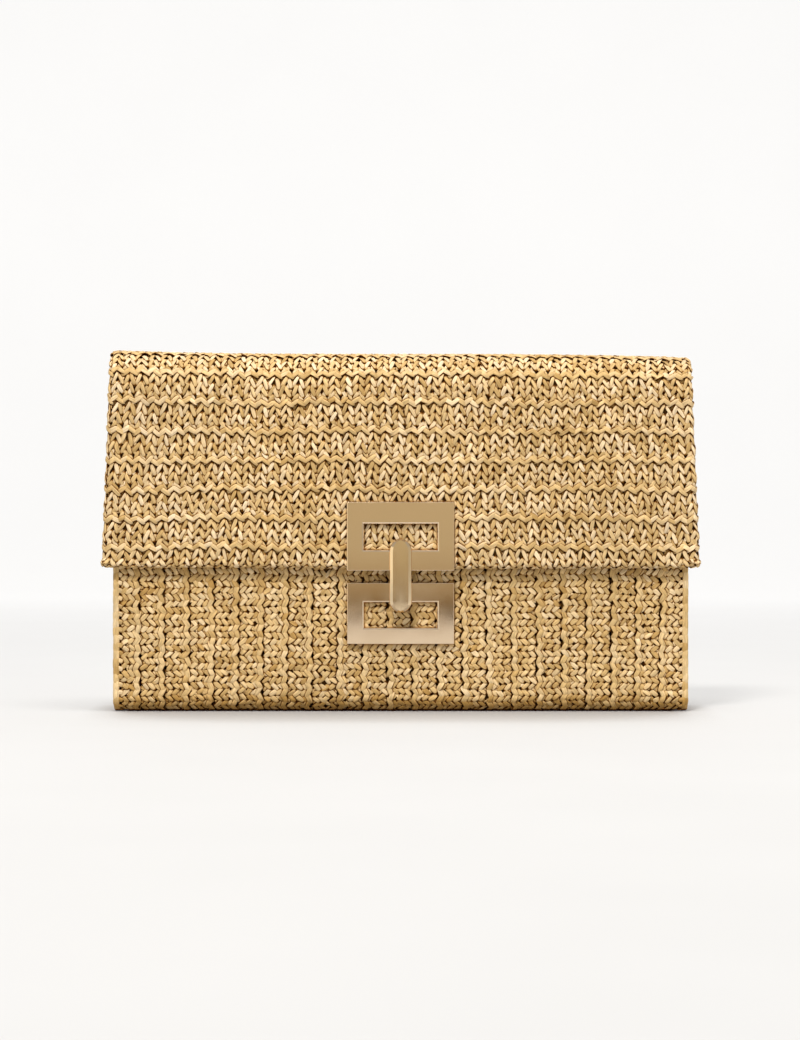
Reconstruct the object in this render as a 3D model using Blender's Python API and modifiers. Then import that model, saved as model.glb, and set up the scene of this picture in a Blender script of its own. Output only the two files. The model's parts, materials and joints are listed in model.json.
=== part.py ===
"""A straw clutch purse: braided body and flap, stiffening boards, lining, and a metal turn clasp.

The frame has its origin in the middle of the base, +X to the right, +Y to the back and +Z up.
The front of the purse faces -Y. The flap closes over the mouth and hangs down the front.
"""

import math

import bmesh
import bpy
from mathutils import Matrix, Vector

MM = 0.001

# Driving dimensions of the body
BODY_WIDTH = 271 * MM
BODY_DEPTH = 44 * MM
MOUTH_HEIGHT = 150 * MM
TOTAL_HEIGHT = 170 * MM
BASE_EDGE_RADIUS = 7 * MM

# Driving dimensions of the flap
FLAP_BOTTOM = 67.5 * MM
FLAP_TOP_WIDTH = 273 * MM
FLAP_HEM_WIDTH = 280 * MM
FLAP_CLEARANCE = 0.6 * MM
FRONT_ROLL_RADIUS = 17 * MM
REAR_ROLL_RADIUS = 12 * MM
REAR_HINGE_HEIGHT = 152 * MM
CROWN_Y = -1 * MM
BOARD_FOLD_MARGIN = 8 * MM

# Each wall is made of layers. A layer is (depth of its outer face, depth of its inner face).
STRAW_LAYER = (0 * MM, 3.0 * MM)
BOARD_LAYER = (3.15 * MM, 4.0 * MM)
BACKING_LAYER = (4.1 * MM, 4.5 * MM)
LINING_LAYER = (5.0 * MM, 5.4 * MM)
WALL_THICKNESS = LINING_LAYER[1]

GAP = 0.3 * MM
SKIN_GAP = 0.15 * MM

# Driving dimensions of the clasp
CLASP_WIDTH = 50.5 * MM
UPPER_PLATE_BOTTOM = 66.8 * MM
UPPER_PLATE_TOP = 99.1 * MM
UPPER_WINDOW_BOTTOM = 76.6 * MM
UPPER_WINDOW_TOP = 88.7 * MM
LOWER_PLATE_BOTTOM = 32.0 * MM
LOWER_PLATE_TOP = 60.9 * MM
LOWER_WINDOW_BOTTOM = 39.8 * MM
LOWER_WINDOW_TOP = 51.6 * MM
WINDOW_WIDTH = 34.4 * MM
PLATE_THICKNESS = 1.8 * MM
PLATE_EDGE = 0.25 * MM
LUG_WIDTH = 8 * MM
LUG_DROP = 5.2 * MM
LUG_RELIEF = 0.3 * MM
BAR_LENGTH = 35 * MM
BAR_WIDTH = 10.5 * MM
BAR_THICKNESS = 3.0 * MM
BAR_BEVEL = 1.1 * MM
BAR_TIP = 5.4 * MM
PIVOT_HEIGHT = 64.6 * MM
PIVOT_RADIUS = 1.45 * MM
PIVOT_HOLE_RADIUS = 1.55 * MM
PIVOT_HEAD_RADIUS = 2.3 * MM
PIVOT_HEAD = 0.8 * MM
WASHER_THICKNESS = 0.4 * MM
MAGNET_RADIUS = 2.5 * MM
MAGNET_THICKNESS = 1.2 * MM
MAGNET_DROP = 8.6 * MM
CATCH_POST_RADIUS = 3.6 * MM
BOSS_RADIUS = 1.5 * MM
BOSS_BORE_RADIUS = 0.95 * MM
SCREW_RADIUS = 0.8 * MM
SCREW_HEAD_RADIUS = 1.6 * MM
SCREW_HEAD = 0.35 * MM
SCREW_INSET = 4.1 * MM

HALF_DEPTH = BODY_DEPTH / 2
FLAP_FRONT_Y = -(HALF_DEPTH + FLAP_CLEARANCE + WALL_THICKNESS)
BAR_FRONT_Y = FLAP_FRONT_Y - SKIN_GAP - PLATE_THICKNESS - GAP - BAR_THICKNESS
CENTRING_SHIFT = -(HALF_DEPTH + BAR_FRONT_Y) / 2
ROUND_SEGMENTS = 20


def material(name, colour, roughness, metallic):
    """One Principled material."""
    made = bpy.data.materials.new(name)
    made.use_nodes = True
    shader = made.node_tree.nodes["Principled BSDF"]
    shader.inputs["Base Color"].default_value = (*colour, 1)
    shader.inputs["Roughness"].default_value = roughness
    shader.inputs["Metallic"].default_value = metallic
    return made


def make_materials():
    """The materials of the purse, by name."""
    return {
        "straw": material("straw", (0.70, 0.50, 0.27), 0.7, 0),
        "board": material("board", (0.55, 0.47, 0.36), 0.9, 0),
        "lining": material("lining", (0.72, 0.62, 0.48), 0.85, 0),
        "gold": material("gold", (0.80, 0.62, 0.38), 0.15, 1),
        "steel": material("steel", (0.60, 0.60, 0.62), 0.3, 1),
        "magnet": material("magnet", (0.45, 0.45, 0.47), 0.35, 1),
    }


def link(name, mesh, shade, location=(0, 0, 0)):
    """A named object of this mesh and material in the purse's collection."""
    made = bpy.data.objects.new(name, mesh)
    made.location = location
    made.data.materials.clear()
    made.data.materials.append(shade)
    PURSE.objects.link(made)
    return made


def bevel(thing, width, segments=2, angle=40):
    """Rounds an object's sharp edges."""
    rounding = thing.modifiers.new("rounding", "BEVEL")
    rounding.width = width
    rounding.segments = segments
    rounding.limit_method = "ANGLE"
    rounding.angle_limit = math.radians(angle)
    return rounding


def box(name, low, high, shade):
    """A block between two corners, its origin at its centre."""
    low, high = Vector(low), Vector(high)
    shape = bmesh.new()
    bmesh.ops.create_cube(shape, size=1)
    bmesh.ops.scale(shape, vec=high - low, verts=shape.verts)
    mesh = bpy.data.meshes.new(name)
    shape.to_mesh(mesh)
    shape.free()
    return link(name, mesh, shade, (low + high) / 2)


def cylinder_mesh(name, radius, front, back, centre_x, centre_z):
    """A cylinder along Y between two Y values, as a mesh with its origin at the frame's."""
    shape = bmesh.new()
    bmesh.ops.create_cone(
        shape,
        cap_ends=True,
        segments=ROUND_SEGMENTS,
        radius1=radius,
        radius2=radius,
        depth=back - front,
    )
    half_step = Matrix.Rotation(math.pi / ROUND_SEGMENTS, 4, "Z")
    along_y = Matrix.Rotation(math.pi / 2, 4, "X")
    place = Matrix.Translation((centre_x, (front + back) / 2, centre_z))
    shape.transform(place @ along_y @ half_step)
    mesh = bpy.data.meshes.new(name)
    shape.to_mesh(mesh)
    shape.free()
    return mesh


def cylinder(name, radius, front, back, centre_x, centre_z, shade):
    """A cylinder along Y as a part of the purse."""
    mesh = cylinder_mesh(name, radius, front, back, centre_x, centre_z)
    made = link(name, mesh, shade)
    made.data.shade_smooth()
    made.data.set_sharp_from_angle(angle=math.radians(40))
    return made


def cutter(mesh):
    """An object that only cuts or joins, and isn't part of the purse."""
    made = bpy.data.objects.new(mesh.name, mesh)
    made.hide_render = True
    made.display_type = "WIRE"
    CUTTERS.objects.link(made)
    return made


def cut(thing, mesh, operation="DIFFERENCE"):
    """Cuts a mesh out of an object, or joins it with operation UNION."""
    step = thing.modifiers.new(mesh.name, "BOOLEAN")
    step.operation = operation
    step.solver = "EXACT"
    step.object = cutter(mesh)


def outline_mesh(name, loops, thickness, edge=0):
    """A flat plate from closed 2D outlines, the first its rim and the others its windows."""
    curve = bpy.data.curves.new(name, "CURVE")
    curve.dimensions = "2D"
    curve.fill_mode = "BOTH"
    curve.extrude = thickness / 2 - edge
    curve.bevel_depth = edge
    curve.bevel_resolution = 1
    curve.offset = -edge
    for loop in loops:
        spline = curve.splines.new("POLY")
        spline.points.add(len(loop) - 1)
        for point, (across, up) in zip(spline.points, loop):
            point.co = (across, up, 0, 1)
        spline.use_cyclic_u = True
    holder = bpy.data.objects.new(name, curve)
    PURSE.objects.link(holder)
    bpy.context.view_layer.update()
    evaluated = holder.evaluated_get(bpy.context.evaluated_depsgraph_get())
    mesh = bpy.data.meshes.new_from_object(evaluated)
    bpy.data.objects.remove(holder)
    bpy.data.curves.remove(curve)
    shape = bmesh.new()
    shape.from_mesh(mesh)
    bmesh.ops.remove_doubles(shape, verts=shape.verts, dist=0.00001)
    bmesh.ops.recalc_face_normals(shape, faces=shape.faces)
    shape.to_mesh(mesh)
    shape.free()
    return mesh


def front_plate(name, loops, front, back, shade, edge=0):
    """A plate that faces -Y, from outlines in (x, z) between two Y values."""
    mesh = outline_mesh(name, loops, back - front, edge)
    facing = Matrix(((1, 0, 0, 0), (0, 0, 1, (front + back) / 2), (0, 1, 0, 0), (0, 0, 0, 1)))
    mesh.transform(facing)
    mesh.flip_normals()
    return link(name, mesh, shade)


def side_plate(name, loop, left, right, shade):
    """A plate that faces X, from an outline in (y, z) between two X values."""
    mesh = outline_mesh(name, [loop], right - left)
    facing = Matrix(((0, 0, 1, (left + right) / 2), (1, 0, 0, 0), (0, 1, 0, 0), (0, 0, 0, 1)))
    mesh.transform(facing)
    return link(name, mesh, shade)


def rectangle(left, bottom, right, top):
    """The corners of an upright rectangle, anticlockwise."""
    return [(left, bottom), (right, bottom), (right, top), (left, top)]


def arc(centre, radius, start, end, steps):
    """Points on an arc between two angles in degrees."""
    made = []
    for step in range(steps + 1):
        angle = math.radians(start + (end - start) * step / steps)
        made.append((centre[0] + radius * math.cos(angle), centre[1] + radius * math.sin(angle)))
    return made


def tapered(thing):
    """Widens a front flap layer evenly from the top of its straight part down to its hem."""
    straight_top = TOTAL_HEIGHT - FRONT_ROLL_RADIUS
    for vertex in thing.data.vertices:
        down = max(0, straight_top - vertex.co.z) / (straight_top - FLAP_BOTTOM)
        wider = 1 + (FLAP_HEM_WIDTH / FLAP_TOP_WIDTH - 1) * down
        vertex.co.x *= wider


def wall_with_round_base(name, side, layer, half_width, top, shade):
    """The front (side -1) or back (side 1) wall of one layer, turned under at the base."""
    outer, inner = layer
    centre = (side * (HALF_DEPTH - BASE_EDGE_RADIUS), BASE_EDGE_RADIUS)
    start, end = (180, 270) if side < 0 else (0, -90)
    outside = [(side * (HALF_DEPTH - outer), top)]
    outside += arc(centre, BASE_EDGE_RADIUS - outer, start, end, 8)
    inside = [(side * (HALF_DEPTH - inner), top)]
    inside += arc(centre, BASE_EDGE_RADIUS - inner, start, end, 8)
    return side_plate(name, outside + inside[::-1], -half_width, half_width, shade)


def flap_front_profile(layer, margin):
    """The front half of a flap layer: from the crown over the front roll and down to the hem."""
    outer, inner = layer
    centre = (FLAP_FRONT_Y + FRONT_ROLL_RADIUS, TOTAL_HEIGHT - FRONT_ROLL_RADIUS)
    crown = CROWN_Y - margin
    hem = FLAP_BOTTOM + outer / 2
    outside = [(crown, TOTAL_HEIGHT - outer)]
    outside += arc(centre, FRONT_ROLL_RADIUS - outer, 90, 180, 10)
    outside += [(FLAP_FRONT_Y + outer, hem)]
    inside = [(crown, TOTAL_HEIGHT - inner)]
    inside += arc(centre, FRONT_ROLL_RADIUS - inner, 90, 180, 10)
    inside += [(FLAP_FRONT_Y + inner, hem)]
    return outside + inside[::-1]


def flap_rear_profile(layer, margin):
    """The rear half of a flap layer: from the rear hinge over the rear roll to the crown."""
    outer, inner = layer
    centre = (HALF_DEPTH - REAR_ROLL_RADIUS, TOTAL_HEIGHT - REAR_ROLL_RADIUS)
    crown = CROWN_Y + margin
    foot = min(REAR_HINGE_HEIGHT + 2 * margin, centre[1] - GAP)
    outside = [(HALF_DEPTH - outer, foot)]
    outside += arc(centre, REAR_ROLL_RADIUS - outer, 0, 90, 8)
    outside += [(crown, TOTAL_HEIGHT - outer)]
    inside = [(HALF_DEPTH - inner, foot)]
    inside += arc(centre, REAR_ROLL_RADIUS - inner, 0, 90, 8)
    inside += [(crown, TOTAL_HEIGHT - inner)]
    return outside + inside[::-1]


def bar_outline(inset):
    """The turn bar's outline about its centre, drawn in evenly by an inset."""
    half_width, half_length = BAR_WIDTH / 2 - inset, BAR_LENGTH / 2 - inset
    shoulder = BAR_LENGTH / 2 - BAR_TIP
    tip = half_length - shoulder
    steps = 8
    top = []
    for step in range(2 * steps + 1):
        angle = math.pi * step / (2 * steps)
        top.append((half_width * math.cos(angle), shoulder + tip * math.sin(angle)))
    return top + [(-x, -z) for x, z in top]


def bar_mesh():
    """The turn bar's solid: a flat back at Y 0, straight sides and a bevel round the front face."""
    rings = (
        (0, 0),
        (0, BAR_BEVEL - BAR_THICKNESS),
        (0.35 * BAR_BEVEL, 0.35 * BAR_BEVEL - BAR_THICKNESS),
        (BAR_BEVEL, -BAR_THICKNESS),
    )
    shape = bmesh.new()
    edges = []
    for inset, depth in rings:
        corners = [shape.verts.new((x, depth, z)) for x, z in bar_outline(inset)]
        ring = [
            shape.edges.new((corner, after))
            for corner, after in zip(corners, corners[1:] + corners[:1])
        ]
        edges.append(ring)
    for near, far in zip(edges, edges[1:]):
        bmesh.ops.bridge_loops(shape, edges=near + far)
    for ring in (edges[0], edges[-1]):
        bmesh.ops.holes_fill(shape, edges=ring, sides=0)
    bmesh.ops.recalc_face_normals(shape, faces=shape.faces)
    mesh = bpy.data.meshes.new("turn_bar")
    shape.to_mesh(mesh)
    shape.free()
    return mesh


def screw_places(bottom, top):
    """The four corner screws of a clasp plate, as (x, z)."""
    across = CLASP_WIDTH / 2 - SCREW_INSET
    return [(x, z) for z in (bottom + SCREW_INSET, top - SCREW_INSET) for x in (-across, across)]


def make_body(shades):
    """The straw walls, their boards, the lining and the bindings of the mouth."""
    straw, board = shades["straw"], shades["board"]
    half_width = BODY_WIDTH / 2
    front = wall_with_round_base(
        "front_panel", -1, STRAW_LAYER, half_width, MOUTH_HEIGHT, straw
    )
    wall_with_round_base("back_panel", 1, STRAW_LAYER, half_width, REAR_HINGE_HEIGHT, straw)
    base_y = HALF_DEPTH - BASE_EDGE_RADIUS - GAP
    base_top = STRAW_LAYER[1]
    box("bottom_panel", (-half_width, -base_y, 0), (half_width, base_y, base_top), straw)

    inner_y = HALF_DEPTH - STRAW_LAYER[1] - GAP
    gusset_floor = STRAW_LAYER[1] + GAP
    corner = BASE_EDGE_RADIUS - STRAW_LAYER[1]
    gusset = [(inner_y, MOUTH_HEIGHT), (-inner_y, MOUTH_HEIGHT)]
    gusset += arc((-inner_y + corner, gusset_floor + corner), corner, 180, 270, 6)
    gusset += arc((inner_y - corner, gusset_floor + corner), corner, 270, 360, 6)
    thickness = STRAW_LAYER[1]
    side_plate("gusset_left", gusset, -half_width, -half_width + thickness, straw)
    side_plate("gusset_right", gusset, half_width - thickness, half_width, straw)

    board_x = half_width - thickness - GAP
    board_floor = BASE_EDGE_RADIUS
    outer, inner = BOARD_LAYER
    front_board = box(
        "front_board",
        (-board_x, -HALF_DEPTH + outer, board_floor),
        (board_x, -HALF_DEPTH + inner, MOUTH_HEIGHT - GAP),
        board,
    )
    box(
        "back_board",
        (-board_x, HALF_DEPTH - inner, board_floor),
        (board_x, HALF_DEPTH - outer, MOUTH_HEIGHT - GAP),
        board,
    )
    base_board_y = HALF_DEPTH - BASE_EDGE_RADIUS
    box("base_board", (-board_x, -base_board_y, outer), (board_x, base_board_y, inner), board)
    return front, front_board


def make_lining(shades):
    """The open-topped lining bag, its slip pocket and the bindings round the mouth."""
    lining = shades["lining"]
    depth = HALF_DEPTH - LINING_LAYER[0]
    half_width = BODY_WIDTH / 2 - STRAW_LAYER[1] - GAP
    floor = LINING_LAYER[0]
    top = MOUTH_HEIGHT - GAP
    shape = bmesh.new()
    bmesh.ops.create_cube(shape, size=1)
    bmesh.ops.scale(shape, vec=(2 * half_width, 2 * depth, top - floor), verts=shape.verts)
    lid = [face for face in shape.faces if face.normal.z > 0.5]
    bmesh.ops.delete(shape, geom=lid, context="FACES_ONLY")
    mesh = bpy.data.meshes.new("lining_bag")
    shape.to_mesh(mesh)
    shape.free()
    bag = link("lining_bag", mesh, lining, (0, 0, (top + floor) / 2))
    skin = bag.modifiers.new("cloth", "SOLIDIFY")
    skin.thickness = LINING_LAYER[1] - LINING_LAYER[0]
    skin.offset = -1

    pocket_back = HALF_DEPTH - LINING_LAYER[1] - GAP
    pocket_half, pocket_bottom, pocket_top = 68 * MM, 38 * MM, 122 * MM
    thickness = 0.5 * MM
    box(
        "slip_pocket",
        (-pocket_half, pocket_back - thickness, pocket_bottom),
        (pocket_half, pocket_back, pocket_top),
        lining,
    )

    binding = 1.4 * MM
    low, high = MOUTH_HEIGHT + GAP, MOUTH_HEIGHT + GAP + binding
    inside_y = HALF_DEPTH - WALL_THICKNESS
    straw = shades["straw"]
    half_body = BODY_WIDTH / 2
    front = box(
        "mouth_binding_front", (-half_body, -HALF_DEPTH, low), (half_body, -inside_y, high), straw
    )
    bevel(front, 0.5 * MM)
    side_inner = half_body - STRAW_LAYER[1] - GAP
    for name, sign in (("mouth_binding_left", -1), ("mouth_binding_right", 1)):
        near, far = sorted((sign * side_inner, sign * half_body))
        ends = (-inside_y + GAP, inside_y - GAP)
        side = box(name, (near, ends[0], low), (far, ends[1], high), straw)
        bevel(side, 0.5 * MM)


def make_flap(shades):
    """The three layers of the flap, each split at the crown where the flap folds."""
    kinds = (
        ("straw", STRAW_LAYER, shades["straw"], 0, GAP / 2),
        ("board", BOARD_LAYER, shades["board"], 3 * MM, BOARD_FOLD_MARGIN),
        ("lining", LINING_LAYER, shades["lining"], 1.5 * MM, GAP / 2),
    )
    fronts = {}
    for kind, layer, shade, inset, margin in kinds:
        half = FLAP_TOP_WIDTH / 2 - inset
        side_plate(f"flap_rear_{kind}", flap_rear_profile(layer, margin), -half, half, shade)
        profile = flap_front_profile(layer, margin)
        front = side_plate(f"flap_front_{kind}", profile, -half, half, shade)
        tapered(front)
        fronts[kind] = front
    return fronts


def fasten(plate, surface, bottom, top, names, layers, shades):
    """Screws a clasp plate through a wall: bosses on the plate, a backing plate and four screws."""
    plate_back = surface - SKIN_GAP
    boss_end = surface + BOARD_LAYER[1]
    backing_front, backing_back = surface + BACKING_LAYER[0], surface + BACKING_LAYER[1]
    margin = 1.5 * MM
    backing = front_plate(
        names["backing"],
        [
            rectangle(
                -CLASP_WIDTH / 2 + margin, bottom + margin, CLASP_WIDTH / 2 - margin, top - margin
            )
        ],
        backing_front,
        backing_back,
        shades["steel"],
    )
    for number, (x, z) in enumerate(screw_places(bottom, top), 1):
        boss = cylinder_mesh(
            f"{names['screw']}_boss_{number}", BOSS_RADIUS, plate_back - 0.6 * MM, boss_end, x, z
        )
        cut(plate, boss, "UNION")
        bore = cylinder_mesh(
            f"{names['screw']}_bore_{number}",
            BOSS_BORE_RADIUS,
            plate_back + 0.4 * MM,
            boss_end + 1 * MM,
            x,
            z,
        )
        cut(plate, bore)
        for layer in layers:
            hole = cylinder_mesh(
                f"{layer.name}_{names['screw']}_hole_{number}",
                BOSS_RADIUS + GAP / 2,
                surface - 1 * MM,
                surface + 5 * MM,
                x,
                z,
            )
            cut(layer, hole)
        hole = cylinder_mesh(
            f"{names['backing']}_hole_{number}",
            BOSS_BORE_RADIUS,
            backing_front - 1 * MM,
            backing_back + 1 * MM,
            x,
            z,
        )
        cut(backing, hole)
        head_front = backing_back + 0.05 * MM
        screw = cylinder(
            f"{names['screw']}_{number}",
            SCREW_HEAD_RADIUS,
            head_front,
            head_front + SCREW_HEAD,
            x,
            z,
            shades["steel"],
        )
        shank = cylinder_mesh(
            f"{names['screw']}_shank_{number}",
            SCREW_RADIUS,
            plate_back + 1.2 * MM,
            head_front + SCREW_HEAD / 2,
            x,
            z,
        )
        cut(screw, shank, "UNION")


def make_upper_clasp(fronts, shades):
    """The flap's frame plate with the lug that the turn bar pivots in."""
    half, window = CLASP_WIDTH / 2, WINDOW_WIDTH / 2
    plate_back = FLAP_FRONT_Y - SKIN_GAP
    plate_front = plate_back - PLATE_THICKNESS
    lug_half = LUG_WIDTH / 2
    lug_bottom = UPPER_PLATE_BOTTOM - LUG_DROP
    corner = 1.6 * MM
    rim = [(half, UPPER_PLATE_BOTTOM), (half, UPPER_PLATE_TOP)]
    rim += [(-half, UPPER_PLATE_TOP), (-half, UPPER_PLATE_BOTTOM)]
    rim += [(-lug_half, UPPER_PLATE_BOTTOM + LUG_RELIEF)]
    rim += arc((-lug_half + corner, lug_bottom + corner), corner, 180, 270, 4)
    rim += arc((lug_half - corner, lug_bottom + corner), corner, 270, 360, 4)
    rim += [(lug_half, UPPER_PLATE_BOTTOM + LUG_RELIEF)]
    opening = rectangle(-window, UPPER_WINDOW_BOTTOM, window, UPPER_WINDOW_TOP)[::-1]
    pivot_hole = arc((0, PIVOT_HEIGHT), PIVOT_HOLE_RADIUS, 0, 360, ROUND_SEGMENTS)[:-1]
    loops = [rim, opening, pivot_hole[::-1]]
    plate = front_plate(
        "clasp_upper_plate", loops, plate_front, plate_back, shades["gold"], PLATE_EDGE
    )
    names = {"backing": "clasp_upper_backing", "screw": "upper_screw"}
    layers = (fronts["straw"], fronts["board"])
    fasten(plate, FLAP_FRONT_Y, UPPER_PLATE_BOTTOM, UPPER_PLATE_TOP, names, layers, shades)
    return plate_front, plate_back


def make_lower_clasp(front_panel, front_board, bar_back, shades):
    """The body's frame plate with a post behind the bar, and the catch magnet in the post."""
    half, window = CLASP_WIDTH / 2, WINDOW_WIDTH / 2
    plate_back = -HALF_DEPTH - SKIN_GAP
    plate_front = plate_back - PLATE_THICKNESS
    rim = rectangle(-half, LOWER_PLATE_BOTTOM, half, LOWER_PLATE_TOP)
    opening = rectangle(-window, LOWER_WINDOW_BOTTOM, window, LOWER_WINDOW_TOP)[::-1]
    plate = front_plate(
        "clasp_lower_plate", [rim, opening], plate_front, plate_back, shades["gold"], PLATE_EDGE
    )
    magnet_z = PIVOT_HEIGHT - MAGNET_DROP
    post_front = bar_back + GAP
    post = cylinder_mesh("catch_post", CATCH_POST_RADIUS, post_front, plate_front + 0.9 * MM, 0, magnet_z)
    cut(plate, post, "UNION")
    seat_back = post_front + MAGNET_THICKNESS + 0.1 * MM
    seat = cylinder_mesh(
        "catch_seat", MAGNET_RADIUS + 0.1 * MM, post_front - 1 * MM, seat_back, 0, magnet_z
    )
    cut(plate, seat)
    magnet_front = post_front + 0.02 * MM
    cylinder(
        "catch_magnet",
        MAGNET_RADIUS,
        magnet_front,
        magnet_front + MAGNET_THICKNESS,
        0,
        magnet_z,
        shades["magnet"],
    )
    names = {"backing": "clasp_lower_backing", "screw": "lower_screw"}
    layers = (front_panel, front_board)
    fasten(plate, -HALF_DEPTH, LOWER_PLATE_BOTTOM, LOWER_PLATE_TOP, names, layers, shades)


def make_turn_bar(plate_front, plate_back, shades):
    """The turn bar with its magnet, and the headed pivot and washer that hold it to the lug."""
    bar_back = plate_front - GAP
    bar_front = bar_back - BAR_THICKNESS
    holder = bpy.data.objects.new("turn_bar_axis", None)
    holder.location = (0, bar_back, PIVOT_HEIGHT)
    PURSE.objects.link(holder)

    bar = link("turn_bar", bar_mesh(), shades["gold"])
    bar.parent = holder
    seat = cylinder_mesh(
        "bar_magnet_seat",
        MAGNET_RADIUS + 0.1 * MM,
        bar_back - MAGNET_THICKNESS - 0.1 * MM,
        bar_back + 1 * MM,
        0,
        PIVOT_HEIGHT - MAGNET_DROP,
    )
    cut(bar, seat)
    socket = cylinder_mesh(
        "bar_pivot_socket",
        PIVOT_HOLE_RADIUS,
        bar_back - 1.5 * MM,
        bar_back + 1 * MM,
        0,
        PIVOT_HEIGHT,
    )
    cut(bar, socket)
    magnet_back = bar_back - 0.02 * MM
    cylinder(
        "bar_magnet",
        MAGNET_RADIUS,
        magnet_back - MAGNET_THICKNESS,
        magnet_back,
        0,
        PIVOT_HEIGHT - MAGNET_DROP,
        shades["magnet"],
    )
    washer_front = plate_back + 0.1 * MM
    washer_back = washer_front + WASHER_THICKNESS
    washer = cylinder(
        "pivot_washer",
        PIVOT_HEAD_RADIUS,
        washer_front,
        washer_back,
        0,
        PIVOT_HEIGHT,
        shades["steel"],
    )
    hole = cylinder_mesh(
        "washer_hole",
        PIVOT_HOLE_RADIUS,
        washer_front - 1 * MM,
        washer_back + 1 * MM,
        0,
        PIVOT_HEIGHT,
    )
    cut(washer, hole)
    head_front = washer_back + 0.1 * MM
    pivot = cylinder(
        "bar_pivot",
        PIVOT_HEAD_RADIUS,
        head_front,
        head_front + PIVOT_HEAD,
        0,
        PIVOT_HEIGHT,
        shades["steel"],
    )
    stem = cylinder_mesh(
        "pivot_stem",
        PIVOT_RADIUS,
        bar_back - 1.4 * MM,
        head_front + PIVOT_HEAD / 2,
        0,
        PIVOT_HEIGHT,
    )
    cut(pivot, stem, "UNION")


def clear_scene():
    """Removes the objects that Blender starts with."""
    for thing in list(bpy.data.objects):
        bpy.data.objects.remove(thing)


def collection(name):
    """A new collection in the scene."""
    made = bpy.data.collections.new(name)
    bpy.context.scene.collection.children.link(made)
    return made


def centre_front_to_back():
    """Moves the purse so that its box, clasp included, is centred on Y 0."""
    root = bpy.data.objects.new("purse", None)
    root.location = (0, CENTRING_SHIFT, 0)
    PURSE.objects.link(root)
    for thing in list(PURSE.objects) + list(CUTTERS.objects):
        if thing != root and thing.parent is None:
            thing.parent = root


clear_scene()
PURSE = collection("clutch_purse")
CUTTERS = collection("cutters")


def main():
    shades = make_materials()
    front_panel, front_board = make_body(shades)
    make_lining(shades)
    fronts = make_flap(shades)
    plate_front, plate_back = make_upper_clasp(fronts, shades)
    bar_back = plate_front - GAP
    make_lower_clasp(front_panel, front_board, bar_back, shades)
    make_turn_bar(plate_front, plate_back, shades)
    centre_front_to_back()


main()
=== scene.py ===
"""The looks of the straw clutch purse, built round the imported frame."""

import json
import math

import bmesh
import bpy
import numpy as np
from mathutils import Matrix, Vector


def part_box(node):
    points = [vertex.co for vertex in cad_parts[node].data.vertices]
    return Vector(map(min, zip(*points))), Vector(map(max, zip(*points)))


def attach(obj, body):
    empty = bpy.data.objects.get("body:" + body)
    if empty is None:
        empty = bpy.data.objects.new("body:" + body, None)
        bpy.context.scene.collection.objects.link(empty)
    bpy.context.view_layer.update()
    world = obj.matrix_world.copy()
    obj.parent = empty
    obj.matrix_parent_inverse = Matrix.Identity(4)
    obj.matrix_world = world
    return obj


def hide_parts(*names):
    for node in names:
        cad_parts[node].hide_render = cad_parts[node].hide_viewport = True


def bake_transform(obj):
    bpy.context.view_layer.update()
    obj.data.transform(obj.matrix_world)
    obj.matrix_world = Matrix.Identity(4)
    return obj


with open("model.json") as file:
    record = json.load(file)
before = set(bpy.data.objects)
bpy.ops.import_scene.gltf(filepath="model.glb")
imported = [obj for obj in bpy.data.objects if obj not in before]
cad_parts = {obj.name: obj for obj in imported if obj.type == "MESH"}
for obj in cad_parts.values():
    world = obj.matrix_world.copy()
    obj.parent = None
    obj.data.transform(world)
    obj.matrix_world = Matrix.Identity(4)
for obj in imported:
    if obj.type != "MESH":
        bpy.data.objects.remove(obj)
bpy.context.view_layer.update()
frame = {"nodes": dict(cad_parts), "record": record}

MM = 0.001

# Where the frame's faces are, in millimetres
BODY_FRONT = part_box("front_panel")[0][1] / MM
BODY_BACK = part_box("back_panel")[1][1] / MM
BODY_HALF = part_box("front_panel")[1][0] / MM
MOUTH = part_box("front_panel")[1][2] / MM
HINGE_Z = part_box("back_panel")[1][2] / MM
FLAP_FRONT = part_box("flap_front_straw")[0][1] / MM
FLAP_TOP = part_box("flap_front_straw")[1][2] / MM
FLAP_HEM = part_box("flap_front_straw")[0][2] / MM
HEM_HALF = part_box("flap_front_straw")[1][0] / MM
TOP_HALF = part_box("flap_rear_straw")[1][0] / MM
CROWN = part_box("flap_rear_straw")[0][1] / MM
BASE_RADIUS = 7.0
REAR_ROLL = 12.0
FRONT_ROLL = 17.0
ROLL_Z = FLAP_TOP - FRONT_ROLL

# The plaits, in millimetres
FLAP_PERIOD = 5.66
FLAP_PITCH = 13.65
BODY_PERIOD = 6.0
BODY_PITCH = 11.7
SIDE_WRAP = 2.6
HEM_WRAP = 2.4
RINGS = 7
# A flattened straw's section: across and up in half widths and half thicknesses, and how bright, its sides
# and underside darker as painted shade
SECTION = (
    (1.0, 0.15, 0.1),
    (0.84, 0.80, 0.8),
    (0.46, 1.0, 1.0),
    (0.0, 0.94, 0.95),
    (-0.46, 1.0, 1.0),
    (-0.84, 0.80, 0.8),
    (-1.0, 0.15, 0.1),
    (-0.62, -0.85, 0.0),
    (0.62, -0.85, 0.0),
)
SIDES = len(SECTION)

# How far apart two strands can be, in metres, and still paint shade on each other
CREASE_SHADE_REACH = 0.0013
RANDOM = np.random.default_rng(41)


# ---------------------------------------------------------------- materials


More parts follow.
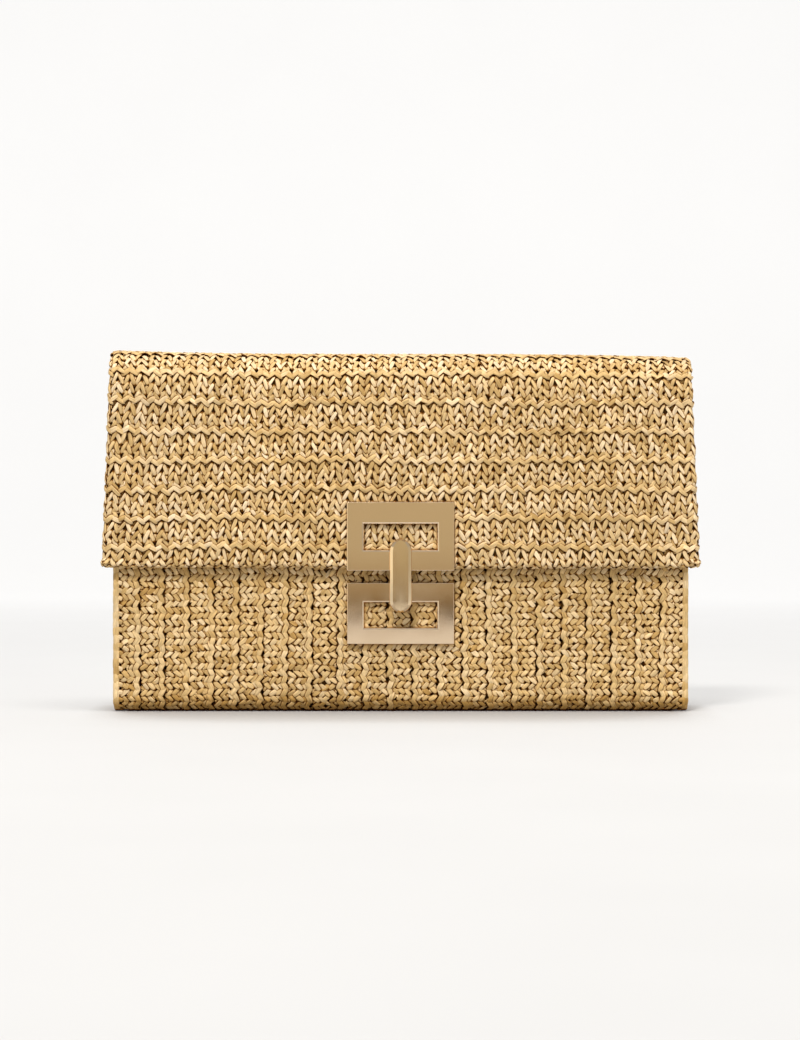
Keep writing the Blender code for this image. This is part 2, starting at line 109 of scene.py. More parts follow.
class Nodes:
    """Short calls for building a node material."""

    def __init__(self, name):
        self.material = bpy.data.materials.new(name)
        self.material.use_nodes = True
        self.tree = self.material.node_tree
        self.shader = self.tree.nodes["Principled BSDF"]

    def link(self, source, target):
        self.tree.links.new(source, target)

    def node(self, kind, **inputs):
        """A node with some inputs set: Detail_Scale sets its Detail Scale, to a number or an output."""
        made = self.tree.nodes.new(kind)
        for key, value in inputs.items():
            self.fill(made.inputs[key.replace("_", " ")], value)
        return made

    def fill(self, socket, value):
        """Gives a socket a number, a colour, a vector or another node's output."""
        if isinstance(value, bpy.types.NodeSocket):
            self.link(value, socket)
        elif isinstance(value, tuple) and socket.type == "RGBA":
            socket.default_value = (*value, 1)
        else:
            socket.default_value = value

    def attribute(self, name):
        node = self.node("ShaderNodeAttribute")
        node.attribute_name = name
        return node

    def mapped(self, vector, scale):
        return self.node("ShaderNodeMapping", Scale=scale, Vector=vector).outputs["Vector"]

    def noise(self, vector, scale, detail=3, roughness=0.55):
        inputs = {"Scale": scale, "Detail": detail, "Roughness": roughness, "Vector": vector}
        return self.node("ShaderNodeTexNoise", **inputs).outputs["Fac"]

    def ramp(self, value, stops):
        node = self.node("ShaderNodeValToRGB", Fac=value)
        elements = node.color_ramp.elements
        while len(elements) < len(stops):
            elements.new(0.5)
        for element, (place, colour) in zip(elements, stops):
            element.position = place
            element.color = (*colour, 1)
        return node.outputs["Color"]

    def spread(self, value, low, high, to_low, to_high):
        inputs = {"From_Min": low, "From_Max": high, "To_Min": to_low, "To_Max": to_high, "Value": value}
        return self.node("ShaderNodeMapRange", **inputs).outputs["Result"]

    def math(self, operation, first, second=0.0):
        node = self.node("ShaderNodeMath")
        node.operation = operation
        self.fill(node.inputs[0], first)
        self.fill(node.inputs[1], second)
        return node.outputs["Value"]

    def multiply(self, first, second, amount=1.0):
        """One colour multiplied by another."""
        node = self.node("ShaderNodeMix")
        node.data_type = "RGBA"
        node.blend_type = "MULTIPLY"
        self.fill(node.inputs[0], amount)
        self.fill(node.inputs[6], first)
        self.fill(node.inputs[7], second)
        return node.outputs[2]

    def grey(self, value):
        return self.node("ShaderNodeCombineColor", Red=value, Green=value, Blue=value).outputs[0]

    def near(self, reach, samples):
        """How open a point is to what lies within reach, in metres: 0 is closed in."""
        node = self.node("ShaderNodeAmbientOcclusion", Distance=reach)
        node.samples = samples
        return node.outputs["AO"]

    def bump(self, height, strength, distance):
        node = self.node("ShaderNodeBump", Strength=strength, Distance=distance, Height=height)
        self.link(node.outputs["Normal"], self.shader.inputs["Normal"])

    def place(self):
        return self.node("ShaderNodeTexCoord").outputs["Object"]

    def split_place(self):
        return self.node("ShaderNodeSeparateXYZ", Vector=self.place()).outputs

    def set(self, **values):
        for key, value in values.items():
            self.fill(self.shader.inputs[key.replace("_", " ")], value)
        return self.material


# Painted shade: what the straw's colour is multiplied by, from a strand's shaded edge to its top, and in
# the creases where strands lie close
EDGE_SHADE_TINT = (0.13, 0.05, 0.006)
EDGE_SHADE_STOPS = [(0.0, EDGE_SHADE_TINT), (0.3, EDGE_SHADE_TINT), (0.55, (0.44, 0.27, 0.08)), (0.74, (1, 1, 1))]
CREASE_SHADE_STOPS = [
    (0.0, (0.12, 0.022, 0.0)),
    (0.40, (0.32, 0.105, 0.004)),
    (0.60, (0.68, 0.49, 0.23)),
    (0.78, (1, 1, 1)),
]
# The straw's gloss is warm
GLOSS_TINT = (1.0, 0.75, 0.45)


def straw_material(name, pale, mid, deep, gloss=0.25):
    """Glossy flattened straw: fibres along each strand, each strand its own tone, and painted shade on its
    edges and in the creases between strands.
    """
    made = Nodes(name)
    fibre = made.attribute("fibre").outputs["Vector"]
    tone = made.attribute("tone").outputs["Fac"]
    rim = made.attribute("rim").outputs["Fac"]
    fine = made.noise(made.mapped(fibre, (0.10, 2.6, 2.6)), 1.0, 4, 0.65)
    broad = made.noise(made.mapped(fibre, (0.22, 0.7, 0.7)), 1.0, 2)
    patch = made.noise(made.place(), 26, 2)
    streak = made.spread(fine, 0.3, 0.7, 0.74, 1.17)
    cloud = made.spread(broad, 0.3, 0.7, 0.82, 1.12)
    wide = made.spread(patch, 0.3, 0.7, 0.93, 1.06)
    shade = made.math("MULTIPLY", made.math("MULTIPLY", streak, cloud), wide)
    colour = made.multiply(made.ramp(tone, [(0.0, deep), (0.45, mid), (1.0, pale)]), made.grey(shade))
    colour = made.multiply(colour, made.ramp(rim, EDGE_SHADE_STOPS))
    # Painted shade: the straw is darker and browner in the creases where strands lie close on each other
    pressed = made.near(CREASE_SHADE_REACH, 6)
    colour = made.multiply(colour, made.ramp(pressed, CREASE_SHADE_STOPS))
    made.bump(fine, 0.6, 0.0003)
    # The creases are dull and the strands' tops glossy
    open_top = made.math("MULTIPLY", made.spread(rim, 0.35, 0.9, 0.0, 1.0), pressed)
    dull = made.spread(open_top, 0.2, 0.8, 0.55, 0.0)
    rough = made.math("ADD", made.spread(fine, 0.3, 0.7, 0.46, 0.30), dull)
    made.set(Base_Color=colour, Roughness=rough)
    return made.set(Specular_IOR_Level=gloss, Specular_Tint=GLOSS_TINT)


def weave_material(name, colour, scale):
    """A plain woven cloth: crossed threads with slubs."""
    made = Nodes(name)
    where = made.place()
    waves = []
    for axis in ("X", "Z"):
        wave = made.node("ShaderNodeTexWave", Scale=scale, Distortion=0.6, Detail_Scale=3, Vector=where)
        wave.bands_direction = axis
        waves.append(wave.outputs["Fac"])
    height = made.math("ADD", waves[1], waves[0])
    slub = made.noise(made.mapped(where, (12, 12, 60)), 20, 3)
    value = made.spread(slub, 0.3, 0.7, 0.86, 1.1)
    thread = made.spread(height, 0.0, 2.0, 0.86, 1.06)
    made.bump(height, 0.35, 0.0002)
    made.set(Base_Color=made.multiply(colour, made.grey(made.math("MULTIPLY", value, thread))))
    return made.set(Roughness=0.85, Sheen_Weight=0.15)


def metal_material(name, colour, roughness, scratch=0.02):
    """Polished plated metal with faint polishing marks."""
    made = Nodes(name)
    where = made.place()
    marks = made.noise(made.mapped(where, (40, 40, 900)), 6, 4, 0.7)
    smear = made.noise(where, 55, 3)
    rough = made.spread(smear, 0.3, 0.75, roughness * 0.7, roughness * 1.6)
    made.bump(marks, scratch, 0.00005)
    tint = made.grey(made.spread(smear, 0.2, 0.8, 0.96, 1.03))
    return made.set(Base_Color=made.multiply(colour, tint), Roughness=rough, Metallic=1.0)


def board_material(name, colour):
    """Pressed fibre board."""
    made = Nodes(name)
    fleck = made.noise(made.place(), 900, 4, 0.7)
    value = made.ramp(fleck, [(0.3, tuple(0.75 * c for c in colour)), (0.7, colour)])
    made.bump(fleck, 0.2, 0.0002)
    return made.set(Base_Color=value, Roughness=0.9)


STRAW = straw_material("straw", (0.85, 0.67, 0.44), (0.66, 0.455, 0.21), (0.46, 0.28, 0.095))
# A darker, browner copy of the straw for the body's plaits, as painted shade
STRAW_UPRIGHT = straw_material("straw_upright", (0.84, 0.64, 0.38), (0.67, 0.455, 0.20), (0.44, 0.25, 0.07))
# Painted shade: a dark straw sheet under the strands, showing in the holes between them
STRAW_SHADE_SHEET = straw_material(
    "straw_shade_sheet", (0.13, 0.058, 0.011), (0.11, 0.048, 0.009), (0.09, 0.04, 0.007), gloss=0.1
)
THREAD = straw_material("stitch_thread", (0.82, 0.66, 0.44), (0.74, 0.56, 0.34), (0.6, 0.44, 0.25))
LINING = weave_material("lining_cloth", (0.58, 0.465, 0.33), 260)
GOLD = metal_material("pale_gold", (0.80, 0.62, 0.43), 0.07)
GOLD_BAR = metal_material("pale_gold_bar", (0.78, 0.60, 0.385), 0.10, 0.03)
STEEL = metal_material("zinc_steel", (0.62, 0.62, 0.64), 0.3, 0.1)
MAGNET = metal_material("nickel_magnet", (0.55, 0.54, 0.52), 0.2, 0.05)
BOARD = board_material("fibre_board", (0.50, 0.42, 0.31))


# ---------------------------------------------------------------- surfaces


def between(value, start, end):
    """How far a value is from start to end, held within 0 and 1."""
    return np.clip((value - start) / (end - start), 0, 1)


def distances(line):
    """How far along a line each of its points is."""
    return np.concatenate([[0], np.cumsum(np.linalg.norm(np.diff(line, axis=0), axis=1))])


class Profile:
    """A line in the Y-Z plane, read by distance along it, with its outward normal."""

    def __init__(self, points):
        line = np.array(points, float)
        steps = np.linalg.norm(np.diff(line, axis=0), axis=1)
        self.line = line[np.concatenate([[True], steps > 1e-6])]
        self.along = distances(self.line)
        self.length = float(self.along[-1])
        tangent = np.gradient(self.line, self.along, axis=0)
        self.tangent = tangent / np.linalg.norm(tangent, axis=1)[:, None]

    def at(self, distance):
        beyond = distance - np.clip(distance, 0, self.length)
        columns = (*self.line.T, *self.tangent.T)
        y, z, ty, tz = (np.interp(distance, self.along, column) for column in columns)
        size = np.sqrt(ty * ty + tz * tz)
        ty, tz = ty / size, tz / size
        return y + ty * beyond, z + tz * beyond, tz, -ty

    def distance_to(self, y, z):
        gap = (self.line[:, 0] - y) ** 2 + (self.line[:, 1] - z) ** 2
        return float(self.along[int(np.argmin(gap))])


def arc_points(centre, radius, start, end, step=3):
    """Points every few degrees on an arc."""
    count = max(2, int(abs(end - start) / step))
    angles = [math.radians(start + (end - start) * index / count) for index in range(count + 1)]
    return [(centre[0] + radius * math.cos(a), centre[1] + radius * math.sin(a)) for a in angles]


def straight(start, end, step=1.0, least=2):
    """Points along a straight stretch, in at least a number of steps."""
    count = max(least, int(math.dist(start, end) / step))
    reach = [b - a for a, b in zip(start, end)]
    return [tuple(a + r * i / count for a, r in zip(start, reach)) for i in range(count + 1)]


def flap_profile(depth=0.0, foot=HINGE_Z, hem_turn=True):
    """The flap's line from the rear fold's foot over the top and down the front to its hem."""
    front, top, back = FLAP_FRONT + depth, FLAP_TOP - depth, BODY_BACK - depth
    if hem_turn:
        points = arc_points((FLAP_FRONT + HEM_WRAP, FLAP_HEM + HEM_WRAP), HEM_WRAP, 10, -180, 8)
        points += straight((front, FLAP_HEM + HEM_WRAP), (front, ROLL_Z))
    else:
        points = straight((front, FLAP_HEM + LINING_HEM), (front, ROLL_Z))
    points += arc_points((FLAP_FRONT + FRONT_ROLL, ROLL_Z), FRONT_ROLL - depth, 180, 90)
    points += straight((FLAP_FRONT + FRONT_ROLL, top), (BODY_BACK - REAR_ROLL, top))
    points += arc_points((BODY_BACK - REAR_ROLL, FLAP_TOP - REAR_ROLL), REAR_ROLL - depth, 90, 0)
    points += straight((back, FLAP_TOP - REAR_ROLL), (back, foot))
    return Profile(points[::-1])


def body_profile():
    """The body's outer line from the mouth down the front, under the base and up the back."""
    front_turn, back_turn = BODY_FRONT + BASE_RADIUS, BODY_BACK - BASE_RADIUS
    points = straight((BODY_FRONT, MOUTH), (BODY_FRONT, BASE_RADIUS))
    points += arc_points((front_turn, BASE_RADIUS), BASE_RADIUS, 180, 270)
    points += straight((front_turn, 0.0), (back_turn, 0.0))
    points += arc_points((back_turn, BASE_RADIUS), BASE_RADIUS, -90, 0)
    points += straight((BODY_BACK, BASE_RADIUS), (BODY_BACK, HINGE_Z))
    return Profile(points)


# How far above the hem the flap's lining ends
LINING_HEM = 1.2
FLAP_LINE = flap_profile()
BODY_LINE = body_profile()
# The height of the hem row's top, from which rows are counted, and its distance along the flap's line
HEM_ROW_Z = 75.9
HEM_ROW_TOP = FLAP_LINE.distance_to(FLAP_FRONT, HEM_ROW_Z)
# How far under the CAD's face the middle of the strands lies
SURFACE_DEPTH = 0.7
# How much wider than its board the flap's straw is, on each side
FLAP_OVER = 1.4
# The soft top edge stands a little high at its left corner and low at its right one
CORNER_DROOP = 1.7
DROOP_FROM = 115.0
# Each row of the flap is a little fuller in its middle, this far below the row's top
ROW_FULLER = 0.35
ROW_MIDDLE = 6.6
# The body's front and back curve in by this much within this reach of their side edges
EDGE_FALL, EDGE_REACH = 0.9, 9
# How far the gussets are hollow in their middles, above this height
GUSSET_HOLLOW, HOLLOW_FROM = 1.6, 60


def flap_half(z):
    """The flap's half width at a height: it widens towards the hem, a little fuller in each row."""
    half = TOP_HALF + (HEM_HALF - TOP_HALF) * between(z, ROLL_Z, FLAP_HEM)
    fuller = ROW_FULLER * np.cos(2 * np.pi * (z - HEM_ROW_Z - ROW_MIDDLE) / FLAP_PITCH)
    return half + fuller + FLAP_OVER


def droop(x, z):
    """How far the flap sags at a point: its soft top is low at one corner and high at the other."""
    return CORNER_DROOP * (x / TOP_HALF) ** 3 * between(z, DROOP_FROM, FLAP_TOP)


def flap_surface(across, along, height):
    """A point of the flap's plaits. Past its sides the straw turns round the edge."""
    along = along + 0.45 * np.sin(across / 21 + along / 17) + 0.3 * np.sin(across / 9.5 + 1.3)
    y, z, ny, nz = FLAP_LINE.at(along)
    across = across + 0.9 * np.sin(along / 13 + across / 37) * np.clip(1 - np.abs(across) / TOP_HALF, 0, 1)
    reach = TOP_HALF - SIDE_WRAP
    inner = flap_half(z) - SIDE_WRAP
    past = np.clip(np.abs(across) - reach, 0, None)
    turn = np.clip(past / SIDE_WRAP, 0, math.pi)
    rest = past - turn * SIDE_WRAP
    lift = height - SURFACE_DEPTH
    radius = SIDE_WRAP + lift
    side = np.sign(across)
    flat = np.clip(across, -reach, reach) / reach * inner
    x = flat + side * (radius * np.sin(turn) - rest)
    out = radius * np.cos(turn) - SIDE_WRAP
    out += (0.35 * np.sin(across / 47 + 0.6) - 0.2) * between(z, ROLL_Z, ROLL_Z - 60)
    return np.stack([x, y + ny * out, z + nz * out - droop(x, z)], -1)


def body_surface(across, along, height):
    """A point of the body's upright plaits on the front, base and back."""
    y, z, ny, nz = BODY_LINE.at(along)
    out = height - SURFACE_DEPTH
    edge = between(np.abs(across), BODY_HALF - EDGE_REACH, BODY_HALF)
    out = out - EDGE_FALL * edge**2
    wander = 0.35 * np.sin(along / 23 + across / 31)
    return np.stack([across + wander * (1 - edge), y + ny * out, z + nz * out], -1)


def gusset_surface(side):
    """A function for the points of one side gusset: across is Y, along is down from the mouth."""
    middle = (BODY_FRONT + BODY_BACK) / 2

    def surface(across, along, height):
        z = MOUTH - along
        low = np.clip(BASE_RADIUS - z, 0, BASE_RADIUS)
        drawn_in = BASE_RADIUS - np.sqrt(BASE_RADIUS**2 - low**2)
        across = across * (1 - drawn_in / ((BODY_BACK - BODY_FRONT) / 2))
        hollow = GUSSET_HOLLOW * np.cos(np.clip(across / 22, -1, 1) * math.pi / 2)
        hollow = hollow * between(z, 0, HOLLOW_FROM)
        x = BODY_HALF - SURFACE_DEPTH + height - hollow
        return np.stack([side * x, middle + across, z + 0 * across], -1)

    return surface


# ---------------------------------------------------------------- strands


def template():
    """The faces of one strand: rings joined along it, and a tip at each end."""
    around = [(side, (side + 1) % SIDES) for side in range(SIDES)]
    quads = []
    for low in range(0, (RINGS - 1) * SIDES, SIDES):
        high = low + SIDES
        quads += [(low + side, low + after, high + after, high + side) for side, after in around]
    first, last, end = RINGS * SIDES, RINGS * SIDES + 1, (RINGS - 1) * SIDES
    tips = []
    for side, after in around:
        tips += [(first, after, side), (last, end + side, end + after)]
    return np.array(quads), np.array(tips)


QUADS, TIPS = template()
# For strands that are wound or folded over, and so have no painted shade on their ends or sides
PLAIN = {"shaded_ends": False, "shaded_sides": False}


class Plait:
    """Collects strands in a strip's own coordinates: across it, along it, and height over it."""

    def __init__(self):
        self.points, self.fibres, self.tones, self.rims = [], [], [], []

    def strands(
        self, start, end, bow, width, thick, ends=0.45, tone=None, shaded_ends=True, shaded_sides=True
    ):
        """Adds strands from start to end, each bowed, widest in its middle."""
        start, end, bow = (np.asarray(v, float) for v in (start, end, bow))
        count = len(start)
        width, thick = (np.broadcast_to(size, (count,)) for size in (width, thick))
        middle = (start + end) / 2 + bow
        length = np.linalg.norm((end - start)[:, :2], axis=1)
        share = np.linspace(0, 1, RINGS)
        u = share[None, :, None]
        line = (1 - u) ** 2 * start[:, None] + 2 * u * (1 - u) * middle[:, None] + u**2 * end[:, None]
        slope = 2 * (1 - u) * (middle - start)[:, None] + 2 * u * (end - middle)[:, None]
        flat = slope[..., :2] / np.linalg.norm(slope[..., :2], axis=2)[..., None]
        lateral = np.stack([-flat[..., 1], flat[..., 0], 0 * flat[..., 0]], -1)
        full = ends + (1 - ends) * np.sin(np.pi * share) ** 0.5
        section = np.array(SECTION)
        cosine, sine = section[:, 0:1], section[:, 1:2]
        wide, deep = ((size[:, None] / 2 * full)[..., None, None] for size in (width, thick))
        # Each strand is turned a little about its own length
        turn = RANDOM.normal(0, 0.15, count)[:, None, None, None]
        sideways = wide * cosine * np.cos(turn) - deep * sine * np.sin(turn)
        upward = wide * cosine * np.sin(turn) + deep * sine * np.cos(turn)
        up = np.array([0, 0, 1.0])
        rings = line[:, :, None] + lateral[:, :, None] * sideways + up * upward
        unit = slope / np.linalg.norm(slope, axis=2)[..., None]
        tip_a = line[:, 0] - unit[:, 0] * (0.25 * width)[:, None]
        tip_b = line[:, -1] + unit[:, -1] * (0.25 * width)[:, None]
        body = rings.reshape(count, -1, 3)
        self.points.append(np.concatenate([body, tip_a[:, None], tip_b[:, None]], 1))
        seed = RANDOM.uniform(0, 300, (count, 1, 1, 3))
        run = (length[:, None] * share)[..., None, None]
        local = np.concatenate(np.broadcast_arrays(run, wide * cosine, deep * sine), -1)
        local = (local + seed).reshape(count, -1, 3)
        self.fibres.append(np.concatenate([local, local[:, :1], local[:, -1:]], 1))
        if tone is None:
            tone = RANDOM.beta(2.2, 2.0, count)
        self.tones.append(np.repeat(np.broadcast_to(tone, (count,))[:, None], RINGS * SIDES + 2, 1))
        # How near each point is to the strand's top: its edges and tucked-in ends get painted shade
        ends_in = np.clip(np.minimum(share, 1 - share) * 5, 0, 1) if shaded_ends else np.ones(RINGS)
        across_rim = section[:, 2] if shaded_sides else np.ones(SIDES)
        rim = np.clip(across_rim * (0.25 + 0.75 * ends_in)[:, None], 0, 1).ravel()
        rim = np.concatenate([rim, [0, 0] if shaded_ends else [0.8, 0.8]])
        self.rims.append(np.broadcast_to(rim, (count, len(rim))))

    def build(self, name, surface, material, under=None):
        """One object of the strands on a surface, with a dark sheet under them as painted shade in the
        holes.
        """
        points = np.concatenate(self.points)
        count, each = points.shape[:2]
        flat = points.reshape(-1, 3)
        where = surface(*flat.T) * MM
        # What the purse stands on is pressed flat
        where[:, 2] = np.maximum(where[:, 2], GROUND * MM)
        offsets = (np.arange(count) * each)[:, None, None]
        quads = (QUADS[None] + offsets).reshape(-1, 4)
        tips = (TIPS[None] + offsets).reshape(-1, 3)
        fibres = np.concatenate(self.fibres).reshape(-1, 3)
        tones, rims = (np.concatenate(parts).reshape(-1) for parts in (self.tones, self.rims))
        # Painted shade: the straw's tone is darker by the ground
        tones = np.clip(tones - BASE_SHADE * np.clip(1 - where[:, 2] / MM / BASE_REACH, 0, 1), 0, 1)
        soles = np.zeros((0, 4), int)
        if under is not None:
            grid, soles = under
            soles = soles + len(where)
            where = np.concatenate([where, surface(*grid.T) * MM])
            fibres = np.concatenate([fibres, grid])
            tones = np.concatenate([tones, np.full(len(grid), 0.5)])
            rims = np.concatenate([rims, np.ones(len(grid))])
        mesh = bpy.data.meshes.new(name)
        mesh.vertices.add(len(where))
        mesh.vertices.foreach_set("co", where.astype(np.float32).ravel())
        loops = np.concatenate([quads.ravel(), tips.ravel(), soles.ravel()])
        sizes = np.repeat([4, 3, 4], [len(quads), len(tips), len(soles)])
        starts = np.concatenate([[0], np.cumsum(sizes)[:-1]])
        slots = np.repeat([0, 1], [len(quads) + len(tips), len(soles)])
        mesh.loops.add(len(loops))
        mesh.polygons.add(len(sizes))
        mesh.materials.append(material)
        mesh.materials.append(material if under is None else STRAW_SHADE_SHEET)
        mesh.loops.foreach_set("vertex_index", loops.astype(np.int32))
        for word, values in (("loop_start", starts), ("loop_total", sizes), ("material_index", slots)):
            mesh.polygons.foreach_set(word, values.astype(np.int32))
        mesh.update(calc_edges=True)
        mesh.polygons.foreach_set("use_smooth", np.ones(len(sizes), bool))
        for word, values in (("fibre", fibres), ("tone", tones), ("rim", rims)):
            kind, field = ("FLOAT_VECTOR", "vector") if word == "fibre" else ("FLOAT", "value")
            attribute = mesh.attributes.new(word, kind, "POINT")
            attribute.data.foreach_set(field, values.astype(np.float32).ravel())
        mesh.validate()
        made = bpy.data.objects.new(name, mesh)
        bpy.context.scene.collection.objects.link(made)
        face_out(made, len(quads) + len(tips))
        return made


def face_out(thing, strand_faces):
    """Turns the strands' faces outwards: a strip's own axes may be left-handed on its surface."""
    shape = bmesh.new()
    shape.from_mesh(thing.data)
    shape.faces.ensure_lookup_table()
    centre = shape.faces[0].calc_center_median()
    volume = 0.0
    for face in shape.faces[: len(QUADS)]:
        first, *rest = [loop.vert.co - centre for loop in face.loops]
        volume += sum(first.dot(a.cross(b)) for a, b in zip(rest, rest[1:]))
    if volume < 0:
        bmesh.ops.reverse_faces(shape, faces=shape.faces[:strand_faces])
        shape.to_mesh(thing.data)
    shape.free()


def under_sheet(across_from, across_to, along_from, along_to, height, step=3.0):
    """A grid in a strip's own coordinates, to close the holes between its strands."""
    columns = max(2, int(abs(across_to - across_from) / step)) + 1
    rows = max(2, int(abs(along_to - along_from) / step)) + 1
    across, along = np.meshgrid(
        np.linspace(across_from, across_to, columns), np.linspace(along_from, along_to, rows)
    )
    grid = np.stack([across.ravel(), along.ravel(), np.full(across.size, height)], -1)
    index = np.arange(rows * columns).reshape(rows, columns)
    faces = np.stack([index[:-1, :-1], index[:-1, 1:], index[1:, 1:], index[1:, :-1]], -1)
    return grid, faces.reshape(-1, 4)


def jitter(count, size):
    return RANDOM.normal(0, size, count)


def spots(axis, run, out, up=0.0):
    """Points from how far each is along axis, along the other axis, and up."""
    columns = (run, out, up) if axis == 0 else (out, run, up)
    return np.stack(np.broadcast_arrays(*columns), -1).astype(float)


def periods(strip, phase, before, after):
    """Where the periods of a strip start, between before its first and after its last place."""
    period, first, last = strip[3:]
    places = np.arange(math.floor(first / period) - 1, math.ceil(last / period) + 2) * period + phase
    return places[(places > first - before * period) & (places < last + after * period)]


# How much lower a filler tier lies
FILLER_SINK = 0.5
# How unevenly strands' ends lie, along the plait and across it
RUN_JITTER, OUT_JITTER = 0.28, 0.38
# How high a V's strands arch, and how far each lies over or under the other
V_ARCH, V_CROSS = 1.15, 0.34
# Tiers that lie at least this low get the deepest tone, as painted shade in the recess
DEEP_TIER = 0.8
# The straw's tone falls by this much towards the ground as painted shade, within this reach, and nothing is
# lower
BASE_SHADE = 0.7
BASE_REACH = 9.0
GROUND = 0.03


def chevrons(plait, strip, tier, sizes, phase=0.0):
    """Adds one tier of V pairs.

    strip is (axis, origin, direction, period, first, last): axis 0 runs across the surface, 1 along
    it, and the V points in direction from origin. tier is (mouth, tip, sink): where the V opens and
    closes, from origin, and how low it lies.
    """
    axis, origin, direction = strip[:3]
    mouth, tip, sink = (*tier, 0.0)[:3]
    width, thick, spread_mouth, spread_tip = sizes
    centres = periods(strip, phase, 0.5, 0.5)
    count = len(centres)
    lean = jitter(count, 0.3)
    for hand in (-1, 1):
        over = V_CROSS * hand
        run_a = centres + hand * spread_mouth + lean + jitter(count, RUN_JITTER)
        run_b = centres + hand * spread_tip + jitter(count, RUN_JITTER)
        out_a = origin + direction * (mouth + jitter(count, OUT_JITTER))
        out_b = origin + direction * (tip + jitter(count, OUT_JITTER))
        start = spots(axis, run_a, out_a, over - 0.55 - sink)
        end = spots(axis, run_b, out_b, -over - 0.5 - sink)
        bow = spots(axis, hand * (0.1 + jitter(count, RUN_JITTER)), 0.0, V_ARCH + jitter(count, 0.15))
        widths = width * RANDOM.uniform(0.84, 1.12, count)
        plait.strands(start, end, bow, widths, thick, ends=0.5, tone=None if sink < DEEP_TIER else 0.0)


def filler(plait, strip, tier, sizes, phase):
    """Adds a lower tier of Vs half a period along, to close the gaps between the Vs over it."""
    chevrons(plait, strip, (*tier, FILLER_SINK), sizes, phase + strip[3] / 2)


def rope(plait, strip, sizes, phase=0.0):
    """Adds the zigzag selvedge rope: it dips at each V's tip and rises between two Vs."""
    axis, origin, direction, period = strip[:4]
    width, thick, amplitude, centre = sizes
    starts = periods(strip, phase, 1, 0)
    count = len(starts)
    for part in (0, 1):
        wave = 1.25 * amplitude * (1 - 2 * part)
        run_a = starts + part * period / 2 - 0.16 * period + jitter(count, 0.2)
        run_b = starts + (part + 1) * period / 2 + 0.13 * period + jitter(count, 0.2)
        start = spots(axis, run_a, origin + direction * (centre + wave + jitter(count, OUT_JITTER)), -0.4)
        end = spots(axis, run_b, origin + direction * (centre - wave + jitter(count, OUT_JITTER)))
        rise = 0.95 + jitter(count, 0.18)
        bow = spots(axis, 0.0, jitter(count, 0.3), rise)
        tone = np.clip(0.44 + 0.16 * np.sin(starts / 19 + phase) + jitter(count, 0.14), 0, 1)
        widths = width * RANDOM.uniform(0.88, 1.12, count)
        plait.strands(start, end, bow, widths, thick, ends=0.62, tone=tone, shaded_ends=False)


# ---------------------------------------------------------------- the flap

# How far below the strands' middle the sheet under them lies
UNDER_SINK = -1.2
# Sizes are (strand width, strand thickness, half spread at the mouth, half spread at the tip)
FLAP_V = (2.0, 1.05, 2.95, -0.1)
FLAP_ROPE = (2.3, 1.3, 1.3, FLAP_PITCH - 1.9)
FLAP_TIERS = ((-3.6, 2.6, 1.1), (-1.5, 5.3, 0.05), (2.8, 9.2), (6.9, 12.4, 0.4))
HEM_TIERS = ((-3.6, 2.6, 1.1), (-1.5, 5.2, 0.05), (2.8, 8.8), (6.6, 12.4), (10.4, 15.8))
FLAP_FILLERS = ((0.8, 6.6), (4.6, 10.4))
# Across the flap, how far its strands go: round the edge and a little way back underneath
WRAP_REACH = TOP_HALF - SIDE_WRAP + SIDE_WRAP * math.pi + 1.5
# Half the width of the band round the crown fold: rows within it are not attached to the flap's front
BLEND_HALF = 8.0


def flap_row(number, low, high, with_rope=True):
    """One row of the flap between two distances below the rear fold; high is nearer the hem."""
    plait = Plait()
    phase = 0.9 + 0.35 * math.sin(1.7 * number) + RANDOM.normal(0, 0.12)
    strip = (0, low, 1, FLAP_PERIOD, -WRAP_REACH, WRAP_REACH)
    for tier in FLAP_TIERS if with_rope else HEM_TIERS:
        chevrons(plait, strip, tier, FLAP_V, phase)
    for tier in FLAP_FILLERS:
        filler(plait, strip, tier, FLAP_V, phase)
    if with_rope:
        rope(plait, strip, FLAP_ROPE, phase)
    under = under_sheet(-WRAP_REACH, WRAP_REACH, low - 1.0, high + 0.5, UNDER_SINK)
    return plait.build(f"flap_plait_{number:02d}", flap_surface, STRAW, under)


def make_flap():
    """All rows of the flap, from the rear fold to the hem."""
    edge = HEM_ROW_TOP
    hem = flap_row(0, edge, FLAP_LINE.length, with_rope=False)
    rows = [(hem, edge, FLAP_LINE.length)]
    while edge > 2:
        low = edge - FLAP_PITCH
        rows.append((flap_row(len(rows), low, edge), low, edge))
        edge = low
    crown_at = FLAP_LINE.distance_to(CROWN, FLAP_TOP)
    for piece, low, high in rows:
        if high < crown_at - BLEND_HALF - 1:
            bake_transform(piece)
        elif low < crown_at + BLEND_HALF + 1:
            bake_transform(piece)
        else:
            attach(piece, "flap_front")
    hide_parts("flap_front_straw")
    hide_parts("flap_rear_straw")


# ---------------------------------------------------------------- the body

BODY_V = (2.35, 1.0, 3.4, -0.45)
BODY_ROPE = (2.6, 1.15, 0.95)
BODY_TIERS = ((0.0, 4.1), (3.0, 7.2))
BODY_FILLERS = ((1.0, 4.9), (4.2, 8.2))
# The left edge of the plait left of the clasp, and how far in from the corner the plaits end
BODY_START = -29.8
BODY_EDGE = 2.8
# The middle of the plait without a rope: the ropes of those beside it face it
TURN_COLUMN = -35.6
# How far below the mouth the upright plaits' strands start: the winding covers their ends
MOUTH_MARGIN = 4.6
# Short strands that close the mouth of each V at the column's edge
BODY_STUB = (2.2, 1.0, 1.25, -0.1)
BODY_STUB_TIER = (0.0, 2.3, 0.6)


